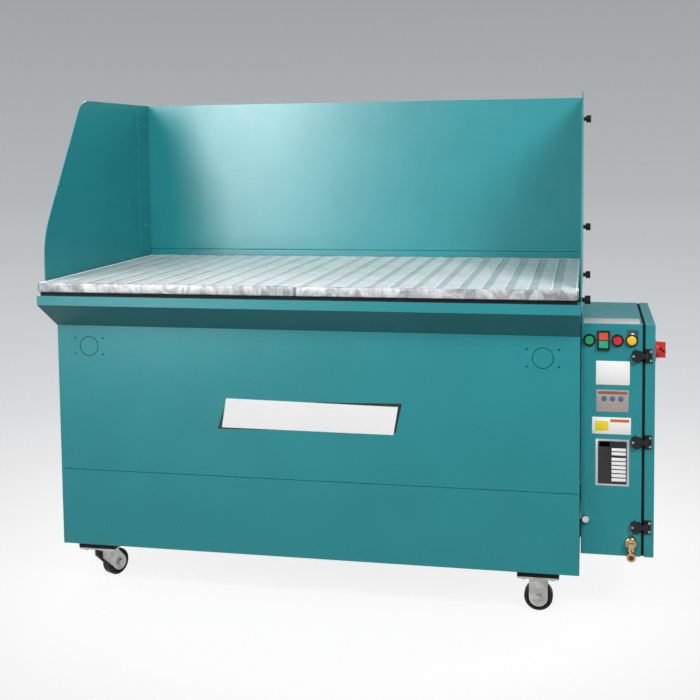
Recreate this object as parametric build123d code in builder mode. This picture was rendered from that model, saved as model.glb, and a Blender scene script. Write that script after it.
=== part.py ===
"""Downdraft table: a wheeled cabinet with filters and a fan under a grated work top.

Millimetres, +Z up. X runs along the front from left to right, and the operator stands at -Y.
The origin lies on the floor, under the middle of the overall box.
"""

import os
from math import cos, radians, sin

from build123d import *

os.makedirs("parts", exist_ok=True)

# Cabinet
cabinet_width = 1528.0
cabinet_depth = 826.0
caster_height = 125.0
drawer_front_height = 230.0
upper_panel_height = 434.0
sheet = 3.0
return_width = 25.0
panel_seam = 1.6
fold_radius = 2.0
seat_gap = 0.3
slide_gap = 1.0
overcut = 5.0

# Knockouts in the upper front panel
knockout_radius = 29.0
knockout_groove = 1.2
knockout_groove_depth = 1.0
knockout_inset = 100.0
knockout_drop = 61.0
knockout_hole_radius = 2.5
knockout_hole_span_x = 87.0
knockout_hole_span_z = 48.0

# Sign on the upper front panel
sign_width = 512.0
sign_height = 83.0
sign_slant = 14.0
sign_rise = 5.0
sign_sheet = 0.8
sign_left = 508.0
sign_below_top = 289.0
sign_backing_left = 13.0
sign_backing_right = 11.0

# Apron tray
apron_front = 67.0
apron_left = 29.0
flare_height = 68.0
band_height = 27.0
tray_flange = 45.0
seal_height = 11.0
seal_width = 16.0
seal_inset = 8.0
rail_width = 30.0
rail_drop = 40.0

# Grates
grate_thickness = 28.0
grate_overhang = 1.0
grate_clearance = 4.5
grate_seam = 2.0
grate_band = 3.0
grate_plate = 2.5
grate_web = 2.0
plank_count = 12
slot_rows = 10
slot_length = 60.0
slot_width = 9.0

# Back panel and wings
guard_height = 542.0
wing_sheet = 2.5
wing_setback = 9.0
wing_front_height = 129.0
wing_slope_setback = 275.0
wing_kink_radius = 190.0
wing_corner_radius = 90.0
wing_foot_radius = 6.0
wing_lap = 25.0
flange_depth = 100.0
flange_lift = 12.0
crease_height = 20.0
crease_step = 3.0
crease_rise = 3.0
top_hem = 8.0
stud_radius = 4.0
stud_clearance = 0.5
stud_head_radius = 7.0
stud_head_height = 1.5
stud_reach = 17.0
stud_from_rear = 46.0
stud_front_inset = 150.0
stud_rear_inset = 36.0
stud_upper_drop = 72.0
stud_lower_rise = 110.0
knob_neck_radius = 6.5
knob_neck_length = 8.0
knob_radius = 12.0
knob_head_length = 16.0
knob_lobes = 12
knob_flute_radius = 2.0
side_knob_edge = 1.5
fit_clearance = 0.05

# Dust drawer
tray_sheet = 2.0
tray_height = 150.0
tray_side_gap = 6.0
tray_rear_gap = 30.0
runner_height = 8.0
runner_width = 17.0
runner_guide = 28.0

# Filter chamber and fan section
partition_from_left = 1045.0
cartridge_radius = 100.0
cartridge_cap_radius = 106.0
cartridge_cap = 18.0
cartridge_bore = 62.0
cartridge_length = 700.0
cartridge_pitch = 255.0
cartridge_count = 3
exhaust_front_gap = 46.0
inlet_radius = 130.0
inlet_collar = 12.0
baffle_reach = 180.0
baffle_lip = 70.0
impeller_radius = 185.0
impeller_height = 110.0
impeller_drop = 22.0
impeller_plate = 3.0
impeller_eye = 124.0
impeller_hub_radius = 28.0
impeller_blades = 9
blade_thickness = 3.0
blade_sweep = 35.0
blade_root = 82.0
shaft_radius = 12.0
shaft_grip = 60.0
motor_radius = 92.0
motor_length = 210.0
motor_rise = 70.0
motor_flange_radius = 110.0
motor_flange = 12.0
motor_fins = 24
motor_fin_depth = 7.0
motor_fin_width = 3.0
stand_plate = 6.0
stand_leg_radius = 165.0
stand_leg = 18.0
stand_legs = 4
stand_bore = 40.0
tank_radius = 50.0
tank_length = 640.0
tank_wall_gap = 22.0
lug_thickness = 10.0
pulse_pipe_radius = 14.0
pulse_valve_radius = 34.0
pulse_valve_height = 52.0
pulse_reach = 60.0
grille_width = 380.0
grille_height = 190.0
grille_sheet = 4.0
grille_border = 22.0
grille_slot = 10.0
grille_slot_pitch = 18.0
grille_rise = 22.0

# Casters
caster_pad = 18.0
caster_plate_x = 116.0
caster_plate_y = 92.0
caster_plate = 5.0
caster_inset_left = 100.0
caster_inset_right = 113.0
caster_inset_y = 62.0
caster_bolt_x = 80.0
caster_bolt_y = 68.0
caster_bolt_radius = 4.0
bolt_head_radius = 7.0
bolt_head = 5.0
raceway_radius = 31.0
raceway = 4.0
wheel_radius = 40.0
wheel_width = 30.0
hub_width = 35.4
hub_radius = 15.0
wheel_recess = 4.0
wheel_edge = 4.0
axle_radius = 6.0
axle_head_radius = 10.0
axle_head = 7.0
hex_sides = 6
fork_sheet = 3.0
fork_gap = 36.0
fork_trail = 46.0
fork_end_radius = 24.0
fork_front = 18.0
fork_drop = 27.0
crown_half = 26.0
swivel_turn_front = 64.0
swivel_turn_rear = 0.0
bracket_end_radius = 26.0

# Control enclosure
enclosure_gap = 3.0
enclosure_width = 162.0
enclosure_depth = 440.0
enclosure_height = 645.0
enclosure_setback = 40.0
enclosure_bottom = 175.0
enclosure_sheet = 2.5
enclosure_lip = 16.0
enclosure_fold = 2.0
spacer_side = 40.0
gasket_thickness = 8.0
gasket_width = 13.0
door_depth = 26.0
door_fold = 2.0
cable_entry_radius = 12.5
cable_entry_inset = 70.0
gland_plate_side = 100.0
gland_plate_lap = 14.0
backplate_gap = 8.0
backplate_margin = 35.0
hinge_height = 80.0
hinge_inset = 125.0
hinge_leaf = 2.0
hinge_leaf_width = 22.0
hinge_knuckle_radius = 5.5
hinge_pin_radius = 3.0
hinge_pin_setback = 7.0

# Latches
latch_pitch = 237.0
latch_base_x = 18.0
latch_base_z = 38.0
latch_base_sheet = 3.0
latch_ear = 5.0
latch_pin_radius = 2.5
latch_ear_radius = 5.0
latch_arm_neck = 14.0
latch_arm_thickness = 6.0
latch_leaf_z = 37.0
latch_leaf_x = 30.0
latch_leaf_share = 0.35
latch_keeper_z = 26.0
latch_keeper_x = 24.0
latch_keeper = 5.0
latch_screw_radius = 3.2
latch_screw_head = 1.6
latch_screw_pitch = 24.0

# Push buttons and lamp
button_drop = 44.5
button_first = 21.0
button_pitch = 37.4
bezel_radius = 16.5
bezel_height = 5.0
bezel_inner_radius = 12.0
barrel_radius = 10.8
barrel_length = 24.0
button_radius = 11.4
button_height = 6.0
button_stem_radius = 7.0
button_travel = 4.0
twin_width = 33.0
twin_height = 51.0
twin_depth = 9.0
twin_wall = 4.0
lamp_radius = 13.0
lamp_height = 12.0

# Label plates on the enclosure: left edge, width, drop from the top, height
plate_sheet = 0.8
legend_plate_size = (120.0, 31.0, 15.0, 24.0)
label_plate_sizes = [
    (39.0, 90.0, 102.0, 66.0),
    (40.5, 86.0, 182.0, 61.0),
    (29.0, 104.0, 258.0, 47.0),
    (39.0, 90.0, 319.0, 130.0),
]
top_strip_width = 150.0
top_strip_depth = 92.0
top_strip_setback = 6.0

# Rotary disconnect on the door
disconnect_side = 58.0
disconnect_plate = 3.0
disconnect_drop = 78.0
disconnect_inset = 60.0
disconnect_disc_radius = 23.0
disconnect_disc = 8.0
disconnect_grip_x = 19.0
disconnect_grip_y = 15.0
disconnect_grip_z = 42.0
disconnect_stub_radius = 4.0
disconnect_edge = 2.0

# Air inlet fitting and side knob
fitting_inset = 135.0
fitting_rise = 42.0
fitting_body_radius = 16.0
fitting_body_length = 18.0
fitting_drop = 33.0
fitting_leg_radius = 10.5
fitting_port_radius = 12.5
fitting_port_length = 24.0
fitting_port_bore = 7.5
fitting_bore_depth = 18.0
fitting_spigot_radius = 9.0
side_knob_rise = 102.0
side_knob_inset = 13.0
side_knob_radius = 10.0
side_knob_length = 14.0
side_knob_stem_radius = 4.0
side_knob_knurls = 20
knurl_radius = 0.9

# Levels
z_base = caster_height
z_pad = z_base - caster_pad
z_seam = z_base + drawer_front_height
z_top = z_seam + upper_panel_height
z_band = z_top + flare_height
z_rim = z_band + band_height
z_grate = z_rim + seal_height
z_work = z_grate + grate_thickness
z_guard = z_work + guard_height
z_deck = z_seam + sheet

# Overall reaches, and the cabinet's place over the origin
knob_reach = knob_neck_length + knob_head_length
reach_left = apron_left + wing_sheet + knob_reach
handle_reach = disconnect_plate + disconnect_disc + disconnect_grip_x
reach_right = enclosure_gap + enclosure_width + gasket_thickness + door_depth + handle_reach
reach_front = apron_front + grate_overhang
reach_rear = wing_sheet + top_hem
x_left = reach_left - (reach_left + cabinet_width + reach_right) / 2
x_right = x_left + cabinet_width
y_front = reach_front - (reach_front + cabinet_depth + reach_rear) / 2
y_rear = y_front + cabinet_depth
x_wing = x_left - apron_left
y_apron = y_front - apron_front
x_part = x_left + partition_from_left
y_inner = y_front + sheet
z_axis = (z_deck + z_top) / 2
x_fan = (x_part + x_right) / 2
y_mid = (y_front + y_rear) / 2
y_fan = y_mid - cartridge_pitch / 2

# Enclosure places
x_box = x_right + enclosure_gap
x_lip = x_box + enclosure_width
x_door = x_lip + gasket_thickness
x_face = x_door + door_depth
y_box = y_front + enclosure_setback
y_box_rear = y_box + enclosure_depth
z_box = enclosure_bottom
z_box_top = z_box + enclosure_height
z_buttons = z_box_top - button_drop
z_latches = [z_box + enclosure_height / 2 + latch_pitch * step for step in (-1, 0, 1)]
z_hinges = [z_box + hinge_inset, z_box_top - hinge_inset]
x_pivot = x_door + latch_ear_radius
y_pivot = y_box - latch_base_sheet - latch_ear_radius - seat_gap

nodes = []


def keep(name, part):
    """Labels a finished piece and writes its STEP file."""
    part.label = name
    export_step(part, f"parts/{name}.step")
    nodes.append(name)


def bar(x0, x1, y0, y1, z0, z1, mode=Mode.ADD):
    """A box between two corners, in the part being built."""
    with Locations(((x0 + x1) / 2, (y0 + y1) / 2, (z0 + z1) / 2)):
        Box(x1 - x0, y1 - y0, z1 - z0, mode=mode)


def rod(start, along, radius, length, mode=Mode.ADD):
    """A cylinder that starts at a point and runs along X, Y or Z, backwards if the length is negative."""
    turns = {"X": (0, 90, 0), "Y": (-90, 0, 0), "Z": (0, 0, 0)}
    side = Align.MIN if length > 0 else Align.MAX
    with Locations(Location(start, turns[along])):
        Cylinder(radius, abs(length), align=(Align.CENTER, Align.CENTER, side), mode=mode)


# Cabinet panels
for name, x_web, inward in (("left_side_panel", x_left, 1), ("right_side_panel", x_right, -1)):
    with BuildPart() as side_panel:
        x_in = x_web + inward * sheet
        x_far = x_in + inward * return_width
        low, high = sorted((x_web, x_in))
        bar(low, high, y_inner, y_rear, z_base, z_top)
        low, high = sorted((x_in, x_far))
        bar(low, high, y_inner, y_inner + sheet, z_base, z_top)
        bar(low, high, y_rear - 2 * sheet, y_rear - sheet, z_base + sheet, z_top)
        bar(low, high, y_inner + sheet, y_rear - 2 * sheet, z_top - sheet, z_top)
    keep(name, side_panel.part)

x_grille = x_fan
z_grille = z_base + sheet + grille_rise + grille_height / 2
with BuildPart() as rear_panel:
    bar(x_left + sheet, x_right - sheet, y_rear - sheet, y_rear, z_base, z_top)
    with BuildSketch(Plane.XZ.offset(-y_rear)):
        with Locations((x_grille, z_grille)):
            Rectangle(grille_width - 2 * grille_border, grille_height - 2 * grille_border)
    extrude(amount=sheet, mode=Mode.SUBTRACT)
keep("rear_panel", rear_panel.part)

with BuildPart() as exhaust_grille:
    half = grille_width / 2
    tall = grille_height / 2
    bar(x_grille - half, x_grille + half, y_rear, y_rear + grille_sheet, z_grille - tall, z_grille + tall)
    fillet(exhaust_grille.edges().filter_by(Axis.Y), grille_border / 2)
    slots = int((grille_height - 2 * grille_border) / grille_slot_pitch)
    with BuildSketch(Plane.XZ.offset(-y_rear)):
        with Locations((x_grille, z_grille)):
            with GridLocations(grille_width, grille_slot_pitch, 1, slots):
                SlotOverall(grille_width - 2 * grille_border, grille_slot)
    extrude(amount=-grille_sheet, mode=Mode.SUBTRACT)
keep("exhaust_grille", exhaust_grille.part)

caster_spots = {
    "front_left": (x_left + caster_inset_left, y_front + caster_inset_y),
    "rear_left": (x_left + caster_inset_left, y_rear - caster_inset_y),
    "front_right": (x_right - caster_inset_right, y_front + caster_inset_y),
    "rear_right": (x_right - caster_inset_right, y_rear - caster_inset_y),
}


def caster_holes(x, y):
    """The four bolt places of one caster plate."""
    half_x, half_y = caster_bolt_x / 2, caster_bolt_y / 2
    return [(x + i * half_x, y + j * half_y) for i in (-1, 1) for j in (-1, 1)]


bolt_places = [p for x, y in caster_spots.values() for p in caster_holes(x, y)]
y_pan = y_inner + slide_gap
with BuildPart() as base_pan:
    bar(x_left + sheet, x_right - sheet, y_pan + sheet, y_rear - sheet, z_base, z_base + sheet)
    with BuildSketch(Plane.XY.offset(z_base)):
        with Locations(*bolt_places):
            Circle(caster_bolt_radius + fit_clearance)
    extrude(amount=sheet, mode=Mode.SUBTRACT)
keep("base_pan", base_pan.part)

flange_left = x_left + sheet + return_width + slide_gap
flange_right = x_right - sheet - return_width - slide_gap
z_knockout = z_top - knockout_drop
with BuildPart() as upper_front_panel:
    bar(x_left, x_right, y_front, y_inner, z_seam, z_top)
    bar(flange_left, flange_right, y_inner, y_inner + return_width, z_seam, z_seam + sheet)
    corners = upper_front_panel.edges().filter_by(Axis.Z).group_by(Axis.Y)[0]
    fillet(corners, fold_radius)
    for x_knock in (x_left + knockout_inset, x_right - knockout_inset):
        with BuildSketch(Plane.XZ.offset(-y_front)):
            with Locations((x_knock, z_knockout)):
                Circle(knockout_radius)
                Circle(knockout_radius - knockout_groove, mode=Mode.SUBTRACT)
        extrude(amount=-knockout_groove_depth, mode=Mode.SUBTRACT)
        with BuildSketch(Plane.XZ.offset(-y_front)):
            with Locations((x_knock, z_knockout)):
                with GridLocations(knockout_hole_span_x, knockout_hole_span_z, 2, 2):
                    Circle(knockout_hole_radius)
        extrude(amount=-sheet, mode=Mode.SUBTRACT)
keep("upper_front_panel", upper_front_panel.part)

with BuildPart() as front_sign:
    sign_x = x_left + sign_left
    sign_z = z_top - sign_below_top
    with BuildSketch(Plane.XZ.offset(-y_front)):
        with BuildLine():
            Polyline(
                (sign_x, sign_z),
                (sign_x + sign_width - sign_slant / 2, sign_z - sign_rise / 2),
                (sign_x + sign_width + sign_slant / 2, sign_z + sign_height - sign_rise),
                (sign_x + sign_slant, sign_z + sign_height + sign_rise / 2),
                close=True,
            )
        make_face()
    extrude(amount=sign_sheet)
    with BuildSketch(Plane.XZ.offset(-y_front)):
        with BuildLine():
            Polyline(
                (sign_x - sign_backing_left, sign_z - sign_rise),
                (sign_x + sign_width, sign_z + sign_rise),
                (sign_x + sign_width + sign_slant / 2 + sign_backing_right, sign_z + sign_height + sign_rise),
                (sign_x + sign_slant, sign_z + sign_height - sign_rise),
                close=True,
            )
        make_face()
    extrude(amount=sign_sheet / 2)
keep("front_sign", front_sign.part)

# Apron tray: a flared skirt under a vertical band, with a return flange at the rim
tray_low = (x_left, x_right, y_front, y_rear)
tray_high = (x_wing, x_right, y_apron, y_rear)


def outline(edges, inset):
    """A rectangle between four edges, drawn inwards by the same amount all round."""
    x0, x1, y0, y1 = edges
    with Locations(((x0 + x1) / 2, (y0 + y1) / 2)):
        Rectangle(x1 - x0 - 2 * inset, y1 - y0 - 2 * inset)


def stud_rows():
    """The places of the studs: side of the table, y, z, and whether it goes through the band."""
    rows = []
    for side in (-1, 1):
        rows.append((side, y_rear - stud_from_rear, z_guard - stud_upper_drop, False))
        rows.append((side, y_rear - stud_from_rear, z_work + stud_lower_rise, False))
        rows.append((side, y_rear - stud_rear_inset, (z_band + z_rim) / 2, True))
        rows.append((side, y_front + stud_front_inset, (z_band + z_rim) / 2, True))
    return rows


hole = stud_radius + stud_clearance
with BuildPart() as apron_tray:
    with BuildSketch(Plane.XY.offset(z_top)):
        outline(tray_low, 0)
    with BuildSketch(Plane.XY.offset(z_band)):
        outline(tray_high, 0)
    loft()
    with BuildSketch(Plane.XY.offset(z_band)):
        outline(tray_high, 0)
    extrude(amount=band_height)
    with BuildSketch(Plane.XY.offset(z_top)):
        outline(tray_low, sheet)
    with BuildSketch(Plane.XY.offset(z_band)):
        outline(tray_high, sheet)
    loft(mode=Mode.SUBTRACT)
    with BuildSketch(Plane.XY.offset(z_band)):
        outline(tray_high, sheet)
    extrude(amount=band_height - sheet, mode=Mode.SUBTRACT)
    with BuildSketch(Plane.XY.offset(z_rim - sheet)):
        outline(tray_high, tray_flange)
    extrude(amount=sheet, mode=Mode.SUBTRACT)
    with BuildSketch(Plane.XY.offset(z_top)):
        outline(tray_low, 0)
        x0, x1, y0, y1 = tray_low
        with Locations(((x0 + x1) / 2, (y0 + y1) / 2)):
            inset = 2 * (sheet + return_width)
            Rectangle(x1 - x0 - inset, y1 - y0 - inset, mode=Mode.SUBTRACT)
    extrude(amount=sheet)
    for side, y, z, through_band in stud_rows():
        if through_band:
            x_out = x_wing if side < 0 else x_right
            rod((x_out + side * sheet, y, z), "X", hole, -side * 3 * sheet, mode=Mode.SUBTRACT)
keep("apron_tray", apron_tray.part)

with BuildPart() as grate_seal:
    with BuildSketch(Plane.XY.offset(z_rim)):
        outline(tray_high, seal_inset)
        x0, x1, y0, y1 = tray_high
        with Locations(((x0 + x1) / 2, (y0 + y1) / 2)):
            inset = 2 * (seal_inset + seal_width)
            Rectangle(x1 - x0 - inset, y1 - y0 - inset, mode=Mode.SUBTRACT)
    extrude(amount=seal_height - seat_gap)
keep("grate_seal", grate_seal.part)

# Grates, with the rails that carry them
grate_x0 = x_wing + grate_clearance
grate_x1 = x_right - grate_clearance
grate_y0 = y_apron - grate_overhang
grate_y1 = y_rear - crease_step - slide_gap
grate_width = (grate_x1 - grate_x0 - grate_seam) / 2
x_rails = [
    grate_x0 + grate_width / 2,
    (grate_x0 + grate_x1) / 2,
    grate_x1 - grate_width / 2,
]
tab = seal_inset + seal_width + slide_gap
with BuildPart() as grate_support_rails:
    for x_rail in x_rails:
        with BuildSketch(Plane.YZ.offset(x_rail - rail_width / 2)):
            with BuildLine():
                Polyline(
                    (y_apron + tab, z_rim),
                    (y_apron + tray_flange + slide_gap, z_rim),
                    (y_apron + tray_flange + slide_gap, z_rim - rail_drop),
                    (y_rear - tray_flange - slide_gap, z_rim - rail_drop),
                    (y_rear - tray_flange - slide_gap, z_rim),
                    (y_rear - tab, z_rim),
                    (y_rear - tab, z_grate - seat_gap),
                    (y_apron + tab, z_grate - seat_gap),
                    close=True,
                )
            make_face()
        extrude(amount=rail_width)
    clear = rail_width - 2 * sheet
    for x_rail in x_rails:
        y0 = y_apron + tray_flange + slide_gap + sheet
        y1 = y_rear - tray_flange - slide_gap - sheet
        bar(x_rail - clear / 2, x_rail + clear / 2, y0, y1, z_rim - rail_drop, z_rim, mode=Mode.SUBTRACT)
keep("grate_support_rails", grate_support_rails.part)

grate_depth = grate_y1 - grate_y0
plank_pitch = (grate_width - 2 * grate_band) / plank_count
slot_pitch = (grate_depth - 2 * grate_band) / slot_rows
for name, x0 in (("grate_left", grate_x0), ("grate_right", grate_x1 - grate_width)):
    x1 = x0 + grate_width
    x_mid, y_mid_grate = (x0 + x1) / 2, (grate_y0 + grate_y1) / 2
    with BuildPart() as grate:
        bar(x0, x1, grate_y0, grate_y1, z_grate, z_work)
        inner = (x0 + grate_band, x1 - grate_band, grate_y0 + grate_band, grate_y1 - grate_band)
        bar(*inner, z_grate, z_work, mode=Mode.SUBTRACT)
        with BuildSketch(Plane.XY.offset(z_grate)):
            with Locations((x_mid, y_mid_grate)):
                with GridLocations(plank_pitch, grate_depth, plank_count - 1, 1):
                    Rectangle(grate_web, grate_depth - 2 * grate_band)
        extrude(amount=grate_thickness - grate_plate)
        with BuildSketch(Plane.XY.offset(z_work - grate_plate)):
            with Locations((x_mid, y_mid_grate)):
                Rectangle(grate_width - grate_band, grate_depth - grate_band)
                with GridLocations(plank_pitch, slot_pitch, plank_count, slot_rows):
                    Rectangle(slot_width, slot_length, mode=Mode.SUBTRACT)
        extrude(amount=grate_plate)
    keep(name, grate.part)

# Back panel, wings, studs and knobs
with BuildPart() as back_panel:
    y_low = y_rear
    y_high = y_rear - crease_step
    z_crease = z_work + crease_height
    with BuildSketch(Plane.YZ.offset(x_wing)):
        with BuildLine():
            Polyline(
                (y_low, z_band + sheet),
                (y_low, z_crease),
                (y_high, z_crease + crease_rise),
                (y_high, z_guard),
                (y_rear + wing_sheet + top_hem, z_guard),
                (y_rear + wing_sheet + top_hem, z_guard - wing_sheet),
                (y_high + wing_sheet, z_guard - wing_sheet),
                (y_high + wing_sheet, z_crease + crease_rise),
                (y_low + wing_sheet, z_crease),
                (y_low + wing_sheet, z_band + sheet),
                close=True,
            )
        make_face()
    extrude(amount=x_right - x_wing)
    for x0 in (x_wing, x_right - wing_sheet):
        bar(x0, x0 + wing_sheet, y_high - flange_depth, y_high, z_work + flange_lift, z_guard)
    for side, y, z, through_band in stud_rows():
        if not through_band:
            x_out = x_wing if side < 0 else x_right
            rod((x_out + side * sheet, y, z), "X", hole, -side * 3 * sheet, mode=Mode.SUBTRACT)
keep("back_panel", back_panel.part)

for name, x0, side in (("wing_left", x_wing - wing_sheet, -1), ("wing_right", x_right, 1)):
    with BuildPart() as wing:
        y_edge = y_front - wing_setback
        with BuildSketch(Plane.YZ.offset(x0)) as wing_profile:
            with BuildLine():
                Polyline(
                    (y_edge, z_rim - wing_lap),
                    (y_edge, z_work + wing_front_height),
                    (y_front + wing_slope_setback, z_guard),
                    (y_rear + wing_sheet, z_guard),
                    (y_rear + wing_sheet, z_rim - wing_lap),
                    close=True,
                )
            make_face()
            kink = wing_profile.vertices().group_by(Axis.X)[0].sort_by(Axis.Y)[-1]
            fillet(kink, wing_kink_radius)
            top = wing_profile.vertices().group_by(Axis.Y)[-1].sort_by(Axis.X)[0]
            fillet(top, wing_corner_radius)
            foot = wing_profile.vertices().group_by(Axis.Y)[0]
            fillet(foot, wing_foot_radius)
        extrude(amount=wing_sheet)
        for stud_side, y, z, through_band in stud_rows():
            if stud_side == side:
                rod((x0 - sheet, y, z), "X", hole, 3 * sheet, mode=Mode.SUBTRACT)
    keep(name, wing.part)

with BuildPart() as wing_studs:
    for side, y, z, through_band in stud_rows():
        x_out = x_wing if side < 0 else x_right
        x_seat = x_out - side * (sheet if through_band else wing_sheet)
        rod((x_seat, y, z), "X", stud_head_radius, -side * stud_head_height)
        rod((x_seat, y, z), "X", stud_radius, side * (sheet + wing_sheet + stud_reach))
keep("wing_studs", wing_studs.part)

with BuildPart() as wing_thumb_knobs:
    for side in (-1, 1):
        x_seat = x_wing - wing_sheet if side < 0 else x_right + wing_sheet
        x_head = x_seat + side * knob_neck_length
        places = [(y, z) for stud_side, y, z, through_band in stud_rows() if stud_side == side]
        with BuildSketch(Plane.YZ.offset(x_seat)):
            with Locations(*places):
                Circle(knob_neck_radius)
        extrude(amount=side * knob_neck_length)
        with BuildSketch(Plane.YZ.offset(x_head)):
            with Locations(*places):
                Circle(knob_radius)
                with PolarLocations(knob_radius, knob_lobes):
                    Circle(knob_flute_radius, mode=Mode.SUBTRACT)
        extrude(amount=side * knob_head_length)
        bore = side * (stud_reach + slide_gap)
        with BuildSketch(Plane.YZ.offset(x_seat)):
            with Locations(*places):
                Circle(stud_radius + fit_clearance)
        extrude(amount=bore, mode=Mode.SUBTRACT)
keep("wing_thumb_knobs", wing_thumb_knobs.part)

# Dust drawer
with BuildPart() as lower_front_panel:
    bar(x_left, x_right, y_front, y_inner, z_base, z_seam - panel_seam)
    corners = lower_front_panel.edges().filter_by(Axis.Z).group_by(Axis.Y)[0]
    fillet(corners, fold_radius)
    z_return = z_seam - panel_seam - sheet
    bar(flange_left, flange_right, y_inner, y_inner + return_width, z_return, z_return + sheet)
keep("lower_front_panel", lower_front_panel.part)

tray_x0 = flange_left + tray_side_gap
tray_x1 = x_part - 2 * tray_side_gap
tray_z = z_base + sheet + runner_height
tray_y1 = y_rear - 2 * sheet - tray_rear_gap
with BuildPart() as dust_drawer_tray:
    bar(tray_x0, tray_x1, y_inner, tray_y1, tray_z, tray_z + tray_height)
    bar(
        tray_x0 + tray_sheet,
        tray_x1 - tray_sheet,
        y_inner + tray_sheet,
        tray_y1 - tray_sheet,
        tray_z + tray_sheet,
        tray_z + tray_height,
        mode=Mode.SUBTRACT,
    )
keep("dust_drawer_tray", dust_drawer_tray.part)

with BuildPart() as drawer_runners:
    z_foot = z_base + sheet
    y_run = y_pan + 2 * sheet
    for x_side, inward in ((tray_x0 - slide_gap, 1), (tray_x1 + slide_gap, -1)):
        low, high = sorted((x_side - inward * sheet, x_side + inward * runner_width))
        bar(low, high, y_run, tray_y1, z_foot, tray_z - seat_gap)
        low, high = sorted((x_side - inward * sheet, x_side))
        bar(low, high, y_run, tray_y1, tray_z - seat_gap, z_foot + runner_guide)
keep("drawer_runners", drawer_runners.part)

# Filter chamber
cartridge_ys = [y_mid + cartridge_pitch * (i - (cartridge_count - 1) / 2) for i in range(cartridge_count)]
with BuildPart() as tube_sheet:
    bar(x_part, x_part + sheet, y_inner, y_rear - sheet, z_deck + sheet, z_top)
    bar(
        x_part + sheet,
        x_part + sheet + return_width,
        y_inner + 2 * sheet,
        y_rear - 3 * sheet,
        z_deck + sheet,
        z_deck + 2 * sheet,
    )
    for y in cartridge_ys:
        rod((x_part, y, z_axis), "X", cartridge_bore, sheet, mode=Mode.SUBTRACT)
keep("tube_sheet", tube_sheet.part)

with BuildPart() as filter_cartridges:
    for y in cartridge_ys:
        x_end = x_part - cartridge_length
        rod((x_part, y, z_axis), "X", cartridge_cap_radius, -cartridge_cap)
        rod((x_part - cartridge_cap, y, z_axis), "X", cartridge_radius, 2 * cartridge_cap - cartridge_length)
        rod((x_end, y, z_axis), "X", cartridge_cap_radius, cartridge_cap)
        rod((x_part, y, z_axis), "X", cartridge_bore, cartridge_cap - cartridge_length, mode=Mode.SUBTRACT)
keep("filter_cartridges", filter_cartridges.part)

with BuildPart() as spark_baffle:
    x_lip_edge = x_part - baffle_reach
    x_end = x_right - 2 * sheet
    z_plate = z_top + sheet
    with BuildSketch(Plane.XZ.offset(-y_inner - sheet)):
        with BuildLine():
            Polyline(
                (x_lip_edge, z_plate),
                (x_end, z_plate),
                (x_end, z_plate + sheet),
                (x_lip_edge - sheet, z_plate + sheet),
                (x_lip_edge - baffle_lip, z_plate - baffle_lip),
                (x_lip_edge - baffle_lip + sheet, z_plate - baffle_lip),
                close=True,
            )
        make_face()
    extrude(amount=-(cabinet_depth - 4 * sheet))
    gap = sheet + return_width
    for y0 in (y_inner + sheet, y_rear - sheet - gap):
        x0 = x_lip_edge - baffle_lip - sheet
        bar(x0, x_lip_edge, y0, y0 + gap, z_plate - baffle_lip - sheet, z_plate, mode=Mode.SUBTRACT)
keep("spark_baffle", spark_baffle.part)

# Fan section: deck with inlet collar, exhaust box under it and the motor's stand over it
y_exhaust = y_front + exhaust_front_gap
z_stand = z_deck + sheet + motor_rise
with BuildPart() as fan_section:
    bar(x_part, x_right - sheet, y_inner + sheet, y_rear - 2 * sheet, z_deck, z_deck + sheet)
    bar(x_part, x_part + sheet, y_exhaust, y_rear - 2 * sheet, z_base + sheet, z_deck)
    bar(x_part, x_right - sheet, y_exhaust, y_exhaust + sheet, z_base + sheet, z_deck)
    rod((x_fan, y_fan, z_deck), "Z", inlet_radius + sheet, sheet + inlet_collar)
    with BuildSketch(Plane.XY.offset(z_stand)):
        with Locations((x_fan, y_fan)):
            Circle(motor_flange_radius)
            with PolarLocations(stand_leg_radius / 2, stand_legs):
                Rectangle(stand_leg_radius + stand_leg / 2, stand_leg)
    extrude(amount=-stand_plate)
    for leg in range(stand_legs):
        turn = radians(360 * leg / stand_legs)
        x_leg = x_fan + stand_leg_radius * cos(turn)
        y_leg = y_fan + stand_leg_radius * sin(turn)
        half = stand_leg / 2
        bar(x_leg - half, x_leg + half, y_leg - half, y_leg + half, z_deck + sheet, z_stand)
    rod((x_fan, y_fan, z_deck), "Z", inlet_radius, sheet + inlet_collar, mode=Mode.SUBTRACT)
    rod((x_fan, y_fan, z_stand - stand_plate), "Z", stand_bore, stand_plate, mode=Mode.SUBTRACT)
keep("fan_section", fan_section.part)

with BuildPart() as fan_motor:
    rod((x_fan, y_fan, z_stand), "Z", motor_flange_radius, motor_flange)
    rod((x_fan, y_fan, z_stand + motor_flange), "Z", motor_radius, motor_length)
    fillet(fan_motor.edges().group_by(Axis.Z)[-1], motor_flange)
    with BuildSketch(Plane.XY.offset(z_stand + 2 * motor_flange)):
        with Locations((x_fan, y_fan)):
            with PolarLocations(motor_radius, motor_fins):
                Rectangle(2 * motor_fin_depth, motor_fin_width)
    extrude(amount=motor_length - 3 * motor_flange, mode=Mode.SUBTRACT)
    bore = shaft_radius + fit_clearance
    rod((x_fan, y_fan, z_stand), "Z", bore, shaft_grip + slide_gap, mode=Mode.SUBTRACT)
keep("fan_motor", fan_motor.part)

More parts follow.
